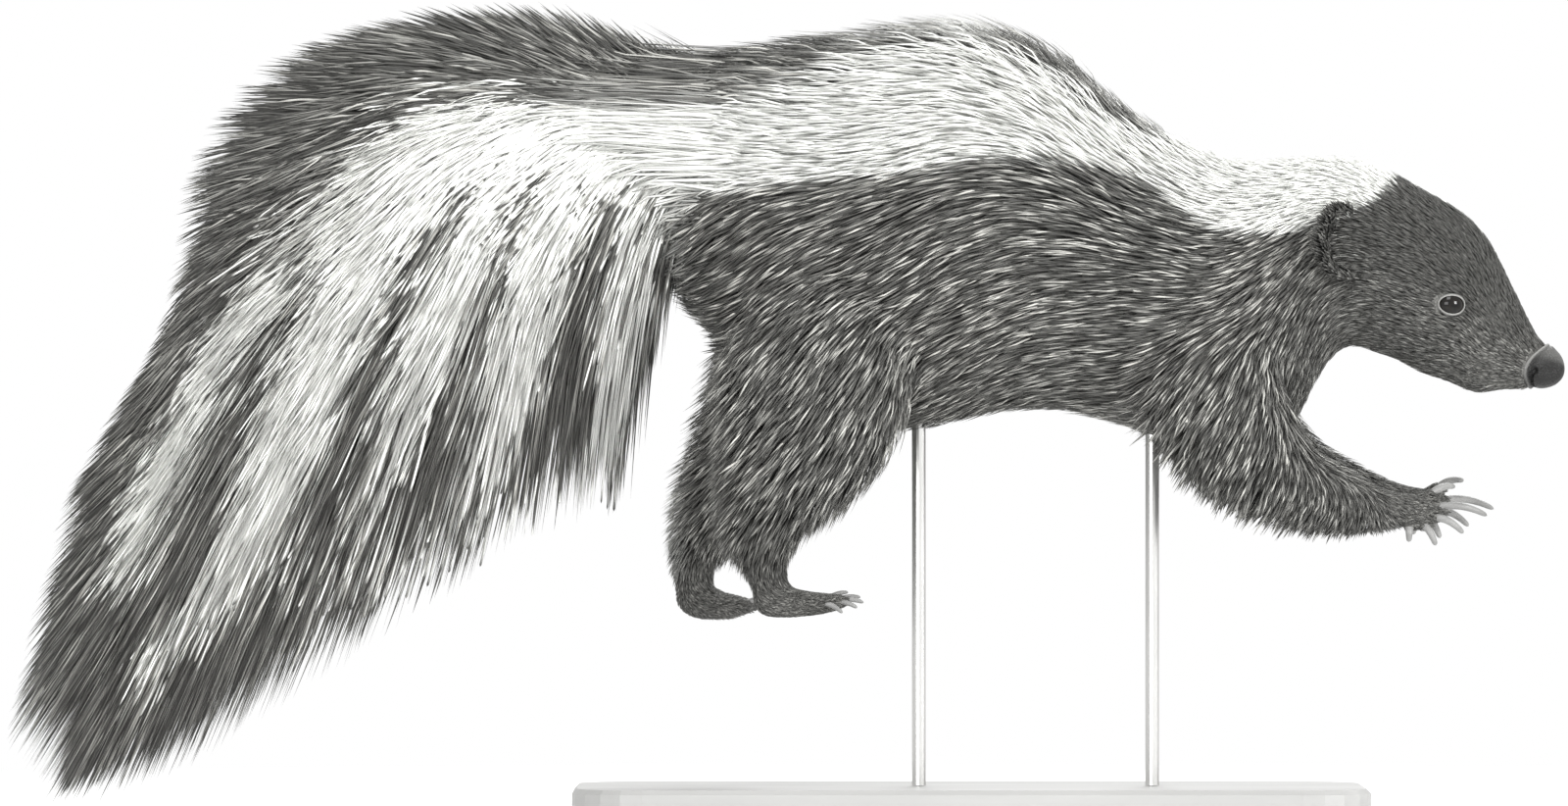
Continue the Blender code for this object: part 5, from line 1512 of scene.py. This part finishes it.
def build_stage(near_eye):
    """The white room, its floor, soft lights and the camera."""
    white_room()
    white_floor()
    for name, place, aim, size, power in (
        ("key", (0.0, -1.4, 1.6), (-0.02, 0, 0.2), 0.9, 17.0),
        ("fill", (-0.7, -2.0, 0.1), (-0.15, 0, 0.16), 1.2, 26.0),
        ("glint", glint_place(near_eye), near_eye[0], 0.5, 20.0),
        ("rim", (0.2, 1.3, 1.4), (-0.1, 0, 0.25), 0.9, 20.0),
    ):
        light = bpy.data.lights.new(name, "AREA")
        light.size = size
        light.energy = power
        lamp = object_from(name, light)
        lamp.location = place
        lamp.rotation_euler = (Vector(aim) - Vector(place)).to_track_quat("-Z", "Y").to_euler()

    camera = bpy.data.cameras.new("camera")
    camera.sensor_width = 36.0
    camera.lens = camera.sensor_width * CAMERA_AWAY / FRAME_WIDTH
    camera.clip_end = 50.0
    holder = object_from("camera", camera)
    holder.location = (FRAME_MIDDLE[0], -CAMERA_AWAY, FRAME_MIDDLE[1])
    holder.rotation_euler = (math.pi / 2, 0, 0)
    bpy.context.scene.camera = holder


# The whole model

def unwrap(obj):
    """Gives the skin its own unwrap."""
    bpy.context.view_layer.objects.active = obj
    obj.select_set(True)
    bpy.ops.object.mode_set(mode="EDIT")
    bpy.ops.mesh.select_all(action="SELECT")
    obj.data.uv_layers.new(name="OFBake")
    bpy.ops.uv.smart_project(angle_limit=math.radians(66), island_margin=0.004)
    bpy.ops.object.mode_set(mode="OBJECT")
    obj.select_set(False)


def keep(obj, material, slot, *nodes):
    """Sets a finished piece on the body, with its material and the nodes it stands for. The slot argument is
    not used."""
    obj.data.materials.clear()
    obj.data.materials.append(material)
    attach(obj, "root")
    if nodes:
        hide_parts(*nodes)


def whole_skin(skin, ears):
    """Joins the toes and the ears to the skin and unwraps it."""
    added = bmesh.new()
    for start, end, radii in toe_lines():
        capsule(added, start, end, radii)
    for ear in ears:
        add_ear(added, ear)
    added = object_of("toes_and_ears", added)
    with bpy.context.temp_override(active_object=skin, selected_editable_objects=[skin, added]):
        bpy.ops.object.join()
    skin.data.shade_smooth()
    unwrap(skin)


def whole_coat(skin, combed, eyes, lips):
    """Every piece of the coat, in the order of its random draws."""
    surface = surface_tree(skin)
    body = body_coat(skin, surface, combed, eyes, lips)
    x, y, z = body["path"][:, 0].T
    short, neck = body["depth"] < SHORT_COAT, x > NECK_COAT_FROM
    head = (x > HEAD_COAT_FROM) & short & (z > HEAD_ABOVE)
    limbs = short & ~head & ~(neck & (z > HEAD_ABOVE))
    rest = ~head & ~limbs
    yield from coat_pieces(body, (
        ("coat_head", head),
        ("coat_limbs", limbs),
        ("coat_neck", rest & neck),
        ("coat_right", rest & ~neck & (y < 0)),
        ("coat_left", rest & ~neck & (y >= 0)),
    ))
    yield from coat_pieces(rump_coat(skin, surface[0]), [("coat_rump", slice(None))])
    tail = tail_coat(skin, surface[0])
    right = tail["path"][:, 2, 1] < 0
    yield from coat_pieces(tail, (("coat_tail_right", right), ("coat_tail_left", ~right)))


def main():
    materials = all_materials()
    skin = build_skin()
    tree, _ = surface_tree(skin)
    eyes = {name: eye_frame(tree, side) for name, side in SIDES}
    lips = [np.array([on_flank(tree, x, z, side)[0] for x, z in MOUTH_LINE]) for _, side in SIDES]
    ears = [ear_frame(tree, side) for _, side in SIDES]
    shape_face(skin, lips)
    whole_skin(skin, ears)
    combed = comb_skin(skin, ears)
    set_attribute(skin.data, "white", white_at(combed["points"]) * (combed["kind"] != EAR_FORM))
    keep(skin, materials["skin"], "dark_coat", *FLESH)
    for piece in whole_coat(skin, combed, eyes.values(), lips):
        keep(piece, materials["coat"], "striped_coat")

    for name, _ in SIDES:
        keep(eyeball("eyeball_" + name, eyes[name]), materials["eye"], "eye", "eye_" + name)
        keep(eyelids("lids_" + name, eyes[name]), materials["lids"], "nose_skin")
    keep(nose(), materials["nose"], "nose_skin", "nose")

    horns = claw_tree()
    along = np.linspace(0, 1, 22) ** 0.8
    for name, side in SIDES:
        for kind, paw, claws, radius in (
            ("fore", "forepaw", fore_claws, FORE_CLAW_RADIUS),
            ("hind", "hindfoot", hind_claws, HIND_CLAW_RADIUS),
        ):
            label = "claws_%s_%s" % (kind, name)
            lines = [bend(*points, along) for points in claws(name, side)]
            piece = along_lines(label, lines, horns, Radius=radius, Finish=materials["horn"])
            nodes = ["%s_%s_claw_%d" % (paw, name, number) for number in range(1, 6)]
            keep(piece, materials["horn"], "claw_horn", *nodes)

    for name, finish in (("stand_base", "board"), ("stand_rod_front", "steel"), ("stand_rod_back", "steel")):
        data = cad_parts[name].data
        data.materials.clear()
        data.materials.append(materials[finish])
    build_stage(eyes["right"])


main()
bpy.context.view_layer.update()
